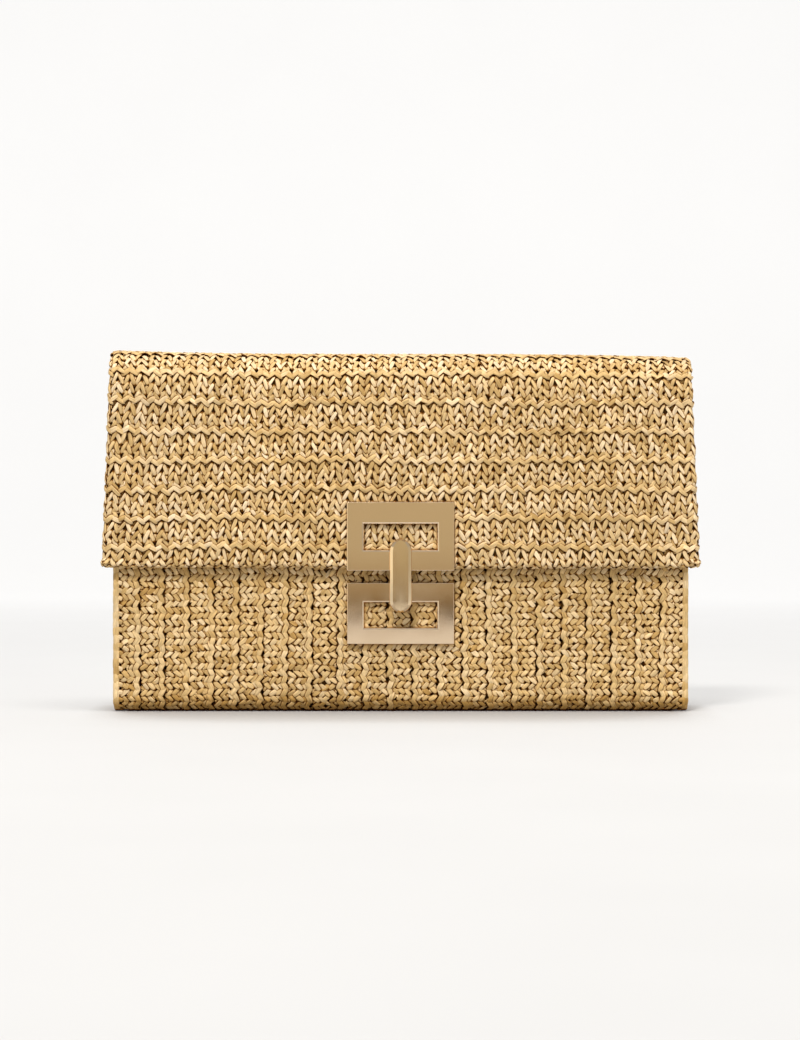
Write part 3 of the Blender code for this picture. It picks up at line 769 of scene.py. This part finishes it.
def body_column(number, left, right, kind):
    """One upright plait. kind is where its rope is: right, left, or none for the middle one."""
    plait = Plait()
    length = BODY_LINE.length
    wide = right - left
    phase = 1.1 + 0.5 * math.sin(0.9 * number) + RANDOM.normal(0, 0.12)
    tiers, fillers = (*BODY_TIERS, (6.2, wide - 1.5, 0.3)), BODY_FILLERS
    if kind == "none":
        tiers, fillers = (BODY_TIERS[0], (2.8, wide / 2 + 1.2, 0.3)), ()
    sides = {"right": ((left, 1),), "left": ((right, -1),), "none": ((left, 1), (right, -1))}
    for origin, direction in sides[kind]:
        strip = (1, origin, direction, BODY_PERIOD, MOUTH_MARGIN, length - 1.0)
        for tier in tiers:
            chevrons(plait, strip, tier, BODY_V, phase)
        for tier in fillers:
            filler(plait, strip, tier, BODY_V, phase)
        chevrons(plait, strip, BODY_STUB_TIER, BODY_STUB, phase)
    if kind != "none":
        rope(plait, strip, (*BODY_ROPE, wide - 1.6), phase)
    under = under_sheet(left - 0.5, right + 0.5, 0.6, length, UNDER_SINK)
    made = plait.build(f"body_plait_{number:02d}", body_surface, STRAW_UPRIGHT, under)
    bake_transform(made)
    return made


def make_body():
    """The upright plaits of the front, base and back."""
    edges = [BODY_START + BODY_PITCH * step for step in range(-9, 15)]
    edges[0] = -(BODY_HALF - BODY_EDGE)
    edges[-1] = BODY_HALF - BODY_EDGE
    for number, (left, right) in enumerate(zip(edges, edges[1:]), 1):
        middle = (left + right) / 2
        kind = "none" if abs(middle - TURN_COLUMN) < 3 else ("right" if middle < TURN_COLUMN else "left")
        body_column(number, left, right, kind)
    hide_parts("front_panel", "back_panel", "bottom_panel")


def make_gussets():
    """The upright plaits of the two side gussets."""
    half = (BODY_BACK - BODY_FRONT - 5.0) / 2
    length = MOUTH - 3.0
    for side, word in ((-1, "left"), (1, "right")):
        edges = np.linspace(-half, half, 5)
        plait = Plait()
        for left, right in zip(edges, edges[1:]):
            step = right - left
            strip = (1, left, 1, BODY_PERIOD, 3.0, length - 3)
            for tier in ((0.2, 4.6), (3.4, 7.6), (5.8, step - 0.9, 0.5)):
                chevrons(plait, strip, tier, BODY_V)
            chevrons(plait, strip, BODY_STUB_TIER, BODY_STUB)
            rope(plait, (*strip[:5], length - 2), (2.3, 1.6, 0.55, step - 1.4))
        under = under_sheet(-half - 1, half + 1, 0, length + 1.5, UNDER_SINK)
        made = plait.build(f"gusset_plait_{word}", gusset_surface(side), STRAW_UPRIGHT, under)
        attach(made, "purse_body")
        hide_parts(f"gusset_{word}")


def make_corner_seams():
    """The smooth folded edge down each corner of the front and back, sewn to the plaits."""
    step = 3.7
    starts = np.arange(-0.5, BODY_LINE.length - 1, step)
    count = len(starts)
    for side, word in ((-1, "left"), (1, "right")):
        plait = Plait()
        edge = side * (BODY_HALF - 0.9)
        start = spots(0, edge + jitter(count, 0.08), starts - 1.2)
        end = spots(0, edge + jitter(count, 0.08), starts + step + 1.0, -0.1)
        plait.strands(start, end, (0, 0, 0.25), 3.1, 2.6, ends=0.8, **PLAIN)
        # The whip stitches leave a small hole between each two
        start = spots(0, edge - side * 0.6, starts + 0.2, 0.35)
        end = spots(0, edge - side * 3.2, starts + 1.3, -0.2)
        plait.strands(start, end, (0, 0, 0.5), 2.5, 1.5, ends=0.7)
        made = plait.build(f"corner_seam_{word}", body_surface, STRAW_UPRIGHT)
        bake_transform(made)


# ---------------------------------------------------------------- the metal


def linked(name, shape, material):
    """An object of a bmesh, in the scene."""
    mesh = bpy.data.meshes.new(name)
    shape.to_mesh(mesh)
    shape.free()
    mesh.materials.append(material)
    made = bpy.data.objects.new(name, mesh)
    bpy.context.scene.collection.objects.link(made)
    return made


def crisp(mesh, degrees=11):
    """Smooth shading with every edge sharper than an angle kept as a line."""
    shape = bmesh.new()
    shape.from_mesh(mesh)
    for edge in shape.edges:
        edge.smooth = len(edge.link_faces) != 2 or edge.calc_face_angle() < math.radians(degrees)
    for face in shape.faces:
        face.smooth = True
    shape.to_mesh(mesh)
    shape.free()


def finished(name, shape, material):
    """An object of a bmesh built in millimetres."""
    bmesh.ops.scale(shape, vec=(MM, MM, MM), verts=shape.verts)
    made = linked(name, shape, material)
    return made


def bevelled_plate(across, up, gaps, front, back, window):
    """A plate cut on lines across and up, less the cells in gaps, its front edges chamfered.

    The chamfer is broad round the window, given by its lower and upper edge, and fine elsewhere.
    """
    shape = bmesh.new()
    columns = [[shape.verts.new((x, front, z)) for z in up] for x in across]
    for i, (left, right) in enumerate(zip(columns, columns[1:])):
        for j in range(len(up) - 1):
            if (i, j) not in gaps:
                shape.faces.new((left[j], right[j], right[j + 1], left[j + 1]))
    bmesh.ops.delete(shape, geom=[v for v in shape.verts if not v.link_faces], context="VERTS")
    raised = bmesh.ops.extrude_face_region(shape, geom=shape.faces[:])
    moved = [item for item in raised["geom"] if isinstance(item, bmesh.types.BMVert)]
    bmesh.ops.translate(shape, vec=(0, back - front, 0), verts=moved)
    bmesh.ops.recalc_face_normals(shape, faces=shape.faces)

    def on_front(edge):
        flat = all(abs(v.co.y - front) < 1e-4 for v in edge.verts)
        return flat and len(edge.link_faces) == 2 and edge.calc_face_angle() > 1

    def round_window(edge):
        x, z = (sum(v.co[axis] for v in edge.verts) / 2 for axis in (0, 2))
        return abs(x) < WINDOW + 0.1 and window[0] - 0.1 < z < window[1] + 0.1

    rims = [(edge, round_window(edge)) for edge in shape.edges if on_front(edge)]
    for inner, offset in ((True, PLATE_BEVEL), (False, PLATE_EDGE)):
        edges = [edge for edge, near in rims if near == inner and edge.is_valid]
        bmesh.ops.bevel(shape, geom=edges, offset=offset, segments=2, profile=0.5, affect="EDGES")
    bmesh.ops.recalc_face_normals(shape, faces=shape.faces)
    return shape


def join_loops(shape, loops):
    """Faces between each closed loop of corners and the next."""
    for near, far in zip(loops, loops[1:]):
        for k in range(len(near)):
            after = (k + 1) % len(near)
            shape.faces.new((near[k], near[after], far[after], far[k]))


def clasp_box(node):
    low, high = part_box(node)
    return low / MM, high / MM


# The clasp plates, in millimetres: thickness, the chamfers round the window and elsewhere
PLATE = 1.8
PLATE_BEVEL = 0.85
PLATE_EDGE = 0.3
# Half the windows' width, and their lower and upper edges
WINDOW = 17.2
UPPER_WINDOW = (76.6, 88.7)
LOWER_WINDOW = (39.8, 51.6)
# The lug behind the bar, half its width and its top, and the catch post's height and radius
LUG_HALF, LUG_TOP = 4.0, 66.8
POST_Z, POST_RADIUS = 56.0, 3.6
# The recess in the post for its magnet: radius and depth
POST_SEAT, SEAT_DEPTH = 2.6, 1.1


def make_plates():
    """The flap's frame plate with its pivot lug, and the body's frame plate with its catch post."""
    low, high = clasp_box("clasp_upper_plate")
    across = [low.x, -WINDOW, -LUG_HALF, LUG_HALF, WINDOW, high.x]
    up = [low.z, LUG_TOP, *UPPER_WINDOW, high.z]
    gaps = {(0, 0), (1, 0), (3, 0), (4, 0), (1, 2), (2, 2), (3, 2)}
    upper = bevelled_plate(across, up, gaps, low.y, low.y + PLATE, UPPER_WINDOW)

    low, high = clasp_box("clasp_lower_plate")
    across = [low.x, -WINDOW, WINDOW, high.x]
    up = [low.z, *LOWER_WINDOW, high.z]
    front = BODY_FRONT - 0.15 - PLATE
    lower = bevelled_plate(across, up, {(1, 1)}, front, front + PLATE, LOWER_WINDOW)
    turn_post(lower, low.y, front + 0.6)
    for word, shape, body in (("upper", upper, "flap_front"), ("lower", lower, "purse_body")):
        plate = finished(f"clasp_frame_{word}", shape, GOLD)
        crisp(plate.data)
        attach(plate, body)
        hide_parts(f"clasp_{word}_plate")


def turn_post(shape, front, back):
    """Adds the round catch post, with a softened rim and a recess for the magnet."""
    soft = 0.35
    rings = [(POST_RADIUS, back), (POST_RADIUS, front + soft), (POST_RADIUS - soft, front)]
    rings += [(POST_SEAT, front), (POST_SEAT, front + SEAT_DEPTH)]
    turns = [2 * math.pi * k / 40 for k in range(40)]
    loops = [
        [shape.verts.new((size * math.cos(a), y, POST_Z + size * math.sin(a))) for a in turns]
        for size, y in rings
    ]
    join_loops(shape, loops)
    shape.faces.new(loops[0])
    shape.faces.new(loops[-1][::-1])


# The bar's facet is narrower at its ends than at its sides, and its domed face is flat there
FACET_INSET, FACET_RISE, FACET_END_SHARE = 1.6, 2.78, 0.5
BAR_HALF, BAR_LONG = 5.25, 17.5
# How tall the bar's arches are, and the steps in half of one
UPPER_ARCH, LOWER_ARCH, ARCH_STEPS = 6.2, 5.5, 12
# Beyond this, the face's corners are joined to the spine's outer points
SPINE_SHARE = 6
# How far in and how far forward each ring of the bar lies, and the spine of its face
BAR_RINGS = (
    (0.35, 0.0),
    (0.0, 0.3),
    (0.0, 1.25),
    (0.3, 1.75),
    (FACET_INSET, FACET_RISE),
    (2.6, 2.86),
    (3.6, 2.90),
)
SPINE_RISE = 2.93


def bar_line(inset):
    """The turn bar's outline about its middle: a pointed arch above and a rounder one below."""
    half, long = BAR_HALF - inset, BAR_LONG - FACET_END_SHARE * inset
    arches = []
    for sign, rise in ((1, UPPER_ARCH), (-1, LOWER_ARCH)):
        shoulder = BAR_LONG - rise
        height = long - shoulder
        offset = max(0.0, (height * height - half * half) / (2 * half))
        radius = half + offset
        stretch = height / math.sqrt(max(radius * radius - offset * offset, 1e-6))
        turns = [math.acos(offset / radius) * k / ARCH_STEPS for k in range(ARCH_STEPS + 1)]
        arch = [(math.cos(turn), stretch * math.sin(turn)) for turn in turns]
        arches.append([(radius * x - offset, sign * (shoulder + radius * z)) for x, z in arch])
    right = arches[1][::-1] + arches[0]
    return right + [(-x, z) for x, z in right[::-1][1:-1]]


def make_bar():
    """The turn bar: flat back, upright sides, a broad facet all round and a gently domed face."""
    low, high = clasp_box("turn_bar")
    middle = (low.z + high.z) / 2
    thick = high.y - low.y
    shape = bmesh.new()

    def corner(x, z, rise):
        dome = max(rise - FACET_RISE, 0.0) * (1 - abs(z) / BAR_LONG)
        return shape.verts.new((x, high.y - (min(rise, FACET_RISE) + dome) * thick / 3.0, middle + z))

    loops = [[corner(x, z, rise) for x, z in bar_line(inset)] for inset, rise in BAR_RINGS]
    join_loops(shape, loops)
    shape.faces.new(loops[0])
    spine = [corner(0, z, SPINE_RISE) for z in (-12.5, 0, 12.5)]
    last = loops[-1]
    half = len(last) // 2
    for line in (last[: half + 1], [last[0]] + last[half:][::-1]):
        # The face is a fan round each of the spine's points
        reach = [(a.co.z + b.co.z) / 2 - middle for a, b in zip(line, line[1:])]
        tips = [0 if z < -SPINE_SHARE else (2 if z > SPINE_SHARE else 1) for z in reach]
        for a, b, tip, before in zip(line, line[1:], tips, [0, *tips]):
            for skipped in range(before, tip):
                shape.faces.new((a, spine[skipped], spine[skipped + 1]))
            shape.faces.new((a, b, spine[tip]))
    bmesh.ops.recalc_face_normals(shape, faces=shape.faces)
    bar = finished("clasp_turn_bar", shape, GOLD_BAR)
    crisp(bar.data, 16)
    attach(bar, "turn_bar")
    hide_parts("turn_bar")


# ---------------------------------------------------------------- the cloth

# The lining's thickness, and the pocket's
CLOTH = 0.35
POCKET_CLOTH = 0.4


def cloth(name, points, thick=CLOTH, closed=False):
    """A sheet through a grid of points (rows, columns, 3) in millimetres, with a cloth's thickness."""
    columns = points.shape[1]
    shape = bmesh.new()
    rows = [[shape.verts.new(p) for p in row] for row in points]
    for upper, lower in zip(rows, rows[1:]):
        for c in range(columns if closed else columns - 1):
            after = (c + 1) % columns
            shape.faces.new((upper[c], upper[after], lower[after], lower[c]))
    bmesh.ops.recalc_face_normals(shape, faces=shape.faces)
    bmesh.ops.solidify(shape, geom=shape.faces[:], thickness=thick)
    made = finished(name, shape, LINING)
    made.data.shade_smooth()
    return made


def ripple(across, along, size):
    """Slow puckers of a glued or sewn lining."""
    return size * (
        np.sin(across / 11 + 1.7 * np.sin(along / 37)) * 0.5
        + np.sin(across / 29 + along / 17 + 0.8) * 0.8
        + np.sin(along / 9 - across / 43) * 0.3
    )


def stitches(name, starts, ends, surface):
    """A row of thread stitches between points given in a surface's own coordinates."""
    plait = Plait()
    plait.strands(starts, ends, (0, 0, 0.45), 0.8, 0.6, ends=0.6)
    made = plait.build(name, surface, THREAD)
    return made


def stitch_line(points, length=2.6, gap=1.0):
    """Starts and ends of stitches along a line of points in a surface's own coordinates."""
    line = np.array(points, float)
    along = distances(line)
    begin = np.arange(0.5, along[-1] - length, length + gap)
    starts = np.stack([np.interp(begin, along, line[:, k]) for k in range(3)], -1)
    ends = np.stack([np.interp(begin + length, along, line[:, k]) for k in range(3)], -1)
    return starts, ends


def make_bag_lining():
    """The lining bag: one lofted cloth tube with a sagging floor, open at the mouth."""
    low, high = clasp_box("lining_bag")
    half_x, half_y = (high.x - low.x) / 2 - 0.3, (high.y - low.y) / 2 - 0.1
    middle = (low.y + high.y) / 2
    corner = 5.0
    outline = []
    for cx, cy, start in ((1, 1, 0), (-1, 1, 90), (-1, -1, 180), (1, -1, 270)):
        centre = (cx * (half_x - corner), cy * (half_y - corner))
        outline += arc_points(centre, corner, start, start + 90, 15)
    ring = []
    for a, b in zip(outline, outline[1:] + outline[:1]):
        ring += straight(a, b, 4, least=1)[:-1]
    top, floor = high.z - 0.4, low.z + 0.6
    bag = (np.array(ring), top, floor, middle)
    rings = [bag_ring(bag, z, 0.0) for z in np.linspace(top, floor + corner, 36)]
    for k in range(1, 7):
        angle = math.radians(15 * k)
        z, pull = floor + corner - corner * math.sin(angle), corner * (1 - math.cos(angle))
        rings.append(bag_ring(bag, z, pull))
    for share in (0.75, 0.5, 0.28, 0.1, 0.02):
        base = bag_ring(bag, floor, corner)
        base[:, 1] = middle + (base[:, 1] - middle) * share
        base[:, 0] *= 1 - 0.03 * (1 - share)
        base[:, 2] += 0.5 * ripple(base[:, 0], base[:, 1] * 3, 0.3)
        rings.append(base)
    made = cloth("lining_bag_cloth", np.array(rings), closed=True)
    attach(made, "purse_body")
    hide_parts("lining_bag")


def bag_ring(bag, z, pull):
    """One ring of the lining bag at a height, drawn in by pull, with the cloth's slight slack.

    bag is (ring, top, floor, middle): its outline seen from above, its heights, and where it is in Y.
    """
    ring, top, floor, middle = bag
    reach = np.abs(ring).max(0)
    x, y = (ring * (1 - pull / reach)).T
    slack = between(z, top, top - 30) * between(z, floor, floor + 12)
    inward = np.clip((0.75 + ripple(ring[:, 0] + ring[:, 1] * 2, z, 0.42)) * slack, 0, 2.2)
    flat_side = np.abs(ring[:, 1]) > reach[1] - 0.5
    y = y - np.sign(ring[:, 1]) * inward * np.where(flat_side, 1.0, 0.3)
    x = x - np.sign(ring[:, 0]) * inward * np.where(flat_side, 0.0, 0.7)
    return np.stack([x, y + middle, np.full(len(ring), z)], -1)


def make_pocket():
    """The slip pocket on the back of the lining: a patch with a turned hem and a stitched edge."""
    low, high = clasp_box("slip_pocket")
    width, height = high.x - low.x, high.z - low.z

    def patch(name, reach, heights, off):
        across, up = np.meshgrid(np.linspace(low.x - reach, high.x + reach, 60), heights)
        share_x, share_z = between(across, low.x, high.x), between(up, high.z, low.z)
        belly = np.sin(np.pi * share_x) ** 0.6 * np.sin(np.pi * (0.28 + 0.72 * share_z)) ** 0.8
        y = low.y - off - 1.5 * belly + ripple(across, up, 0.12)
        made = cloth(name, np.stack([across, y, up], -1), POCKET_CLOTH)
        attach(made, "purse_body")
        return made

    pocket = patch("slip_pocket_cloth", 0.0, np.linspace(high.z, low.z, 40), 1.9)
    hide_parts("slip_pocket")
    band = patch("slip_pocket_hem", 0.2, np.linspace(high.z + 0.3, high.z - 9, 6), 2.35)

    def face(x, along, lift):
        return np.stack([x, low.y - 2.2 - lift, high.z - along], -1)

    inset = 1.8
    route = [(low.x + inset, 2, 0.3), (low.x + inset, height - inset, 0.3)]
    route += [(high.x - inset, height - inset, 0.3), (high.x - inset, 2, 0.3)]
    sewn = stitches("slip_pocket_stitches", *stitch_line(route), face)
    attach(sewn, "purse_body")


LINING_DEPTH = 5.3
LINING_LINE = flap_profile(LINING_DEPTH, foot=HINGE_Z - 9, hem_turn=False)
LINING_INSET = 3.3


def lining_surface(across, along, height):
    """A point of the flap's lining; height is inwards, away from the straw."""
    y, z, ny, nz = LINING_LINE.at(along)
    inner = flap_half(z) - LINING_INSET
    x = across / TOP_HALF * inner
    puckers = 0.12 * np.sin(x / 7 + along / 31) + 0.1 * np.sin(along / 8 + x / 19)
    in_bag = between(z, HINGE_Z - 1, HINGE_Z - 7) * (y > CROWN)
    depth = height + puckers + 0.55 * in_bag
    x = np.where(in_bag > 0, np.clip(x, -BODY_HALF + 6, BODY_HALF - 6), x)
    return np.stack([x, y - ny * depth, z - nz * depth - droop(x, z)], -1)


def make_flap_lining():
    """The flap's lining in two sheets that meet just behind the crown fold."""
    meet = LINING_LINE.distance_to(CROWN + BLEND_HALF + 2.4, FLAP_TOP - LINING_DEPTH)
    spans = (("flap_lining_rear", 0.0, meet), ("flap_lining_front", meet, LINING_LINE.length))
    for name, start, end in spans:
        rows = max(8, int((end - start) / 2))
        across, along = np.meshgrid(np.linspace(-TOP_HALF, TOP_HALF, 110), np.linspace(start, end, rows))
        piece = cloth(name, lining_surface(across, along, 0 * across))
        if "rear" in name:
            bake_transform(piece)
            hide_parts("flap_rear_lining")
        else:
            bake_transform(piece)
            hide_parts("flap_front_lining")
    edge = TOP_HALF - 2.2
    bottom = LINING_LINE.length - 2.0
    route = [(-edge, meet + 2, 0.25), (-edge, bottom, 0.25), (edge, bottom, 0.25), (edge, meet + 2, 0.25)]
    sewn = stitches("flap_lining_stitches", *stitch_line(route), lining_surface)
    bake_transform(sewn)


# ---------------------------------------------------------------- the mouth


def make_mouth_binding():
    """Straw wound over the front and side edges of the mouth, strand beside strand."""
    for place, word in ((0, "front"), (-1, "left"), (1, "right")):
        low, high = clasp_box(f"mouth_binding_{word}")
        if place:
            wind_binding(word, high.x - low.x, high.z, (low.y + 0.8, high.y - 0.4), place)
        else:
            wind_binding(word, high.y - low.y, high.z, (low.x + 1, high.x - 1), place)


def wind_binding(word, thick, top, span, place):
    """One edge's winding over a half-round section; place is -1, 0 or 1 for left, front or right."""
    radius = thick / 2 - 0.35
    middle = top - 1.0 - radius
    foot = middle - 3.4
    section = straight((-radius, foot), (-radius, middle), 0.5)
    section += arc_points((0, middle), radius, 180, 0, 12)
    section += straight((radius, middle), (radius, foot), 0.5)
    line = Profile(section)

    def surface(across, along, height):
        y, z, ny, nz = line.at(along)
        u, w = y - ny * height, z - nz * height
        if place:
            return np.stack([place * (BODY_HALF - thick / 2 - u), across, w], -1)
        return np.stack([across, BODY_FRONT + thick / 2 + u, w], -1)

    plait = Plait()
    centres = np.arange(span[0], span[1], 2.05)
    widths = 2.15 * (0.9 + 0.2 * np.abs(np.sin(centres * 1.7)))
    slant = 1.3
    parts = 4
    for part in range(parts):
        a, b = part / parts, (part + 1) / parts
        start = spots(0, centres + slant * (a - 0.5), line.length * a - (0.5 if part else 0))
        end = spots(0, centres + slant * (b - 0.5), line.length * b + (0.5 if part < parts - 1 else 0))
        plait.strands(start, end, (0, 0, 0.1), widths, 1.25, ends=0.92, **PLAIN)
    made = plait.build(f"mouth_rope_{word}", surface, STRAW)
    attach(made, "purse_body")
    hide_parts(f"mouth_binding_{word}")


# ---------------------------------------------------------------- camera, light and floor


# The floor's own glow in front of the purse and far behind it
FLOOR_GLOW = (0.31, 0.68)
FLOOR_GLOW_SPAN = (-0.5, 1.75)
FLOOR_BEHIND_SPAN = (-2.2, -0.8)
# Painted shadow: the floor's glow is darker within this distance, in metres, of what stands on it, and only
# across the purse's width
SHADE_REACH = 0.11
SHADE_HALF = (0.128, 0.15)
# What the metal mirrors: the room in front, from below to above, and a warm card on each side
ROOM_STOPS = [
    (0.0, (0.10, 0.10, 0.09)),
    (0.27, (0.13, 0.10, 0.07)),
    (0.33, (0.37, 0.26, 0.13)),
    (0.42, (0.43, 0.32, 0.18)),
    (0.50, (0.62, 0.54, 0.37)),
    (1.0, (0.64, 0.55, 0.37)),
]
SIDE_CARD = (1.0, 0.93, 0.78)


def swept(name, line, half, material):
    """A strip of floor or backdrop along a line of (y, z), half as wide as half each way."""
    shape = bmesh.new()
    rows = [[shape.verts.new((x, y, z)) for x in (-half, half)] for y, z in line]
    for near, far in zip(rows, rows[1:]):
        shape.faces.new((near[0], near[1], far[1], far[0]))
    made = linked(name, shape, material)
    made.data.shade_smooth()
    return made


def floor_material():
    """A pale floor that glows a little, less where the purse stands, with a painted shadow under it."""
    pale = Nodes("floor_white")
    grain = pale.noise(pale.place(), 8, 2)
    tone = pale.ramp(grain, [(0.3, (0.33, 0.328, 0.325)), (0.7, (0.34, 0.338, 0.335))])
    where = pale.split_place()
    ahead = pale.spread(where["Y"], *FLOOR_GLOW_SPAN, *FLOOR_GLOW)
    behind = pale.spread(where["Y"], *FLOOR_BEHIND_SPAN, *FLOOR_GLOW[::-1])
    # Painted shadow: the glow fades where the purse closes the floor in, only within the purse's width
    under = pale.ramp(
        pale.near(SHADE_REACH, 8), [(0.5, (0.02, 0, 0)), (0.7, (0.25, 0.2, 0.16)), (0.9, (1, 1, 1))]
    )
    beside = pale.spread(pale.math("ABSOLUTE", where["X"]), *SHADE_HALF, 1.0, 0.0)
    warm = pale.multiply((1.0, 0.995, 0.987), under, beside)
    pale.set(Base_Color=tone, Roughness=0.75, Specular_IOR_Level=0.1)
    return pale.set(Emission_Color=warm, Emission_Strength=pale.math("MAXIMUM", ahead, behind))


def make_stage():
    """A plain pale floor that ends in front of the camera, soft light, and what the metal mirrors."""
    front, back, wide, tall, bend = -1.09, 2.2, 8.0, 3.2, 0.5
    line = [(front, 0), (back - bend, 0)]
    line += arc_points((back - bend, bend), bend, -80, 0, 10)
    line += [(back, tall)]
    finish = floor_material()
    swept("studio_floor", line, wide, finish)
    # The metal mirrors the edge of the floor, so the part nearer than that isn't mirrored
    near = swept("studio_floor_near", [(-6.0, 0), (front, 0)], wide, finish)
    near.visible_glossy = False

    world = bpy.data.worlds.new("studio")
    bpy.context.scene.world = world
    world.use_nodes = True
    background = world.node_tree.nodes["Background"]
    background.inputs["Color"].default_value = (1.0, 0.99, 0.975, 1)
    background.inputs["Strength"].default_value = 0.5

    room = Nodes("room_glow")
    height = room.spread(room.split_place()["Y"], -0.2, 0.3, 0.0, 1.0)
    mirror_card("room_card", room, room.ramp(height, ROOM_STOPS), 1.0, (0, -2.43, 0), (90, 0), (1.7, 0.55))
    for side, word, strength in ((-1, "left", 1.25), (1, "right", 0.6)):
        glow = Nodes(word + "_card_glow")
        place = (side * 1.8, -0.6, 0.3)
        mirror_card(word + "_card", glow, SIDE_CARD, strength, place, (0, -90 * side), (0.45, 1.3))


def mirror_card(name, glow, colour, strength, place, turn, size):
    """A glowing card that only the metal mirrors."""
    glow.tree.nodes.remove(glow.shader)
    light = glow.node("ShaderNodeEmission", Color=colour, Strength=strength)
    glow.link(light.outputs[0], glow.tree.nodes["Material Output"].inputs["Surface"])
    shape = bmesh.new()
    bmesh.ops.create_grid(shape, x_segments=1, y_segments=1, size=1)
    card = linked(name, shape, glow.material)
    card.location = place
    card.rotation_euler = (math.radians(turn[0]), math.radians(turn[1]), 0)
    card.scale = (*size, 1)
    card.visible_camera = card.visible_diffuse = card.visible_shadow = False


def make_lights():
    """A soft key from the upper left in front, and a weaker one from the right."""
    for name, place, size, power in (
        ("key", (-0.24, -1.0, 1.32), 0.34, 20),
        ("fill", (1.1, -0.7, 0.8), 0.9, 3),
        ("top", (0.1, -0.25, 1.3), 0.5, 8),
    ):
        lamp = bpy.data.lights.new(name, "AREA")
        lamp.shape = "DISK"
        lamp.size = size
        lamp.energy = power
        lamp.color = (1.0, 0.975, 0.94)
        made = bpy.data.objects.new(name, lamp)
        made.location = place
        made.visible_glossy = name == "key"
        aim = Vector((0, 0, 0.09)) - Vector(place)
        made.rotation_euler = aim.to_track_quat("-Z", "Y").to_euler()
        bpy.context.scene.collection.objects.link(made)


def make_camera():
    """A long lens, level with the upper half of the purse."""
    lens = bpy.data.cameras.new("camera")
    lens.lens = 88.3
    lens.sensor_fit = "VERTICAL"
    lens.sensor_height = 36
    made = bpy.data.objects.new("camera", lens)
    made.location = (-0.0003, -1.2 + FLAP_FRONT * MM, 0.0906)
    made.rotation_euler = (math.radians(90), 0, 0)
    bpy.context.scene.collection.objects.link(made)
    bpy.context.scene.camera = made


def paint_frame():
    """Gives each CAD node that stays its finished material."""
    finishes = {"board": BOARD, "lining": LINING, "gold": GOLD}
    finishes.update({"steel": STEEL, "magnet": MAGNET, "straw": STRAW})
    for entry in frame["record"]["subparts"]:
        node = frame["nodes"][entry["node"]]
        node.data.materials.clear()
        node.data.materials.append(finishes[entry["material_slot"]])


paint_frame()
make_flap()
make_body()
make_gussets()
make_corner_seams()
make_plates()
make_bar()
make_bag_lining()
make_pocket()
make_flap_lining()
make_mouth_binding()
make_stage()
make_lights()
make_camera()
bpy.context.scene.view_settings.view_transform = "Standard"
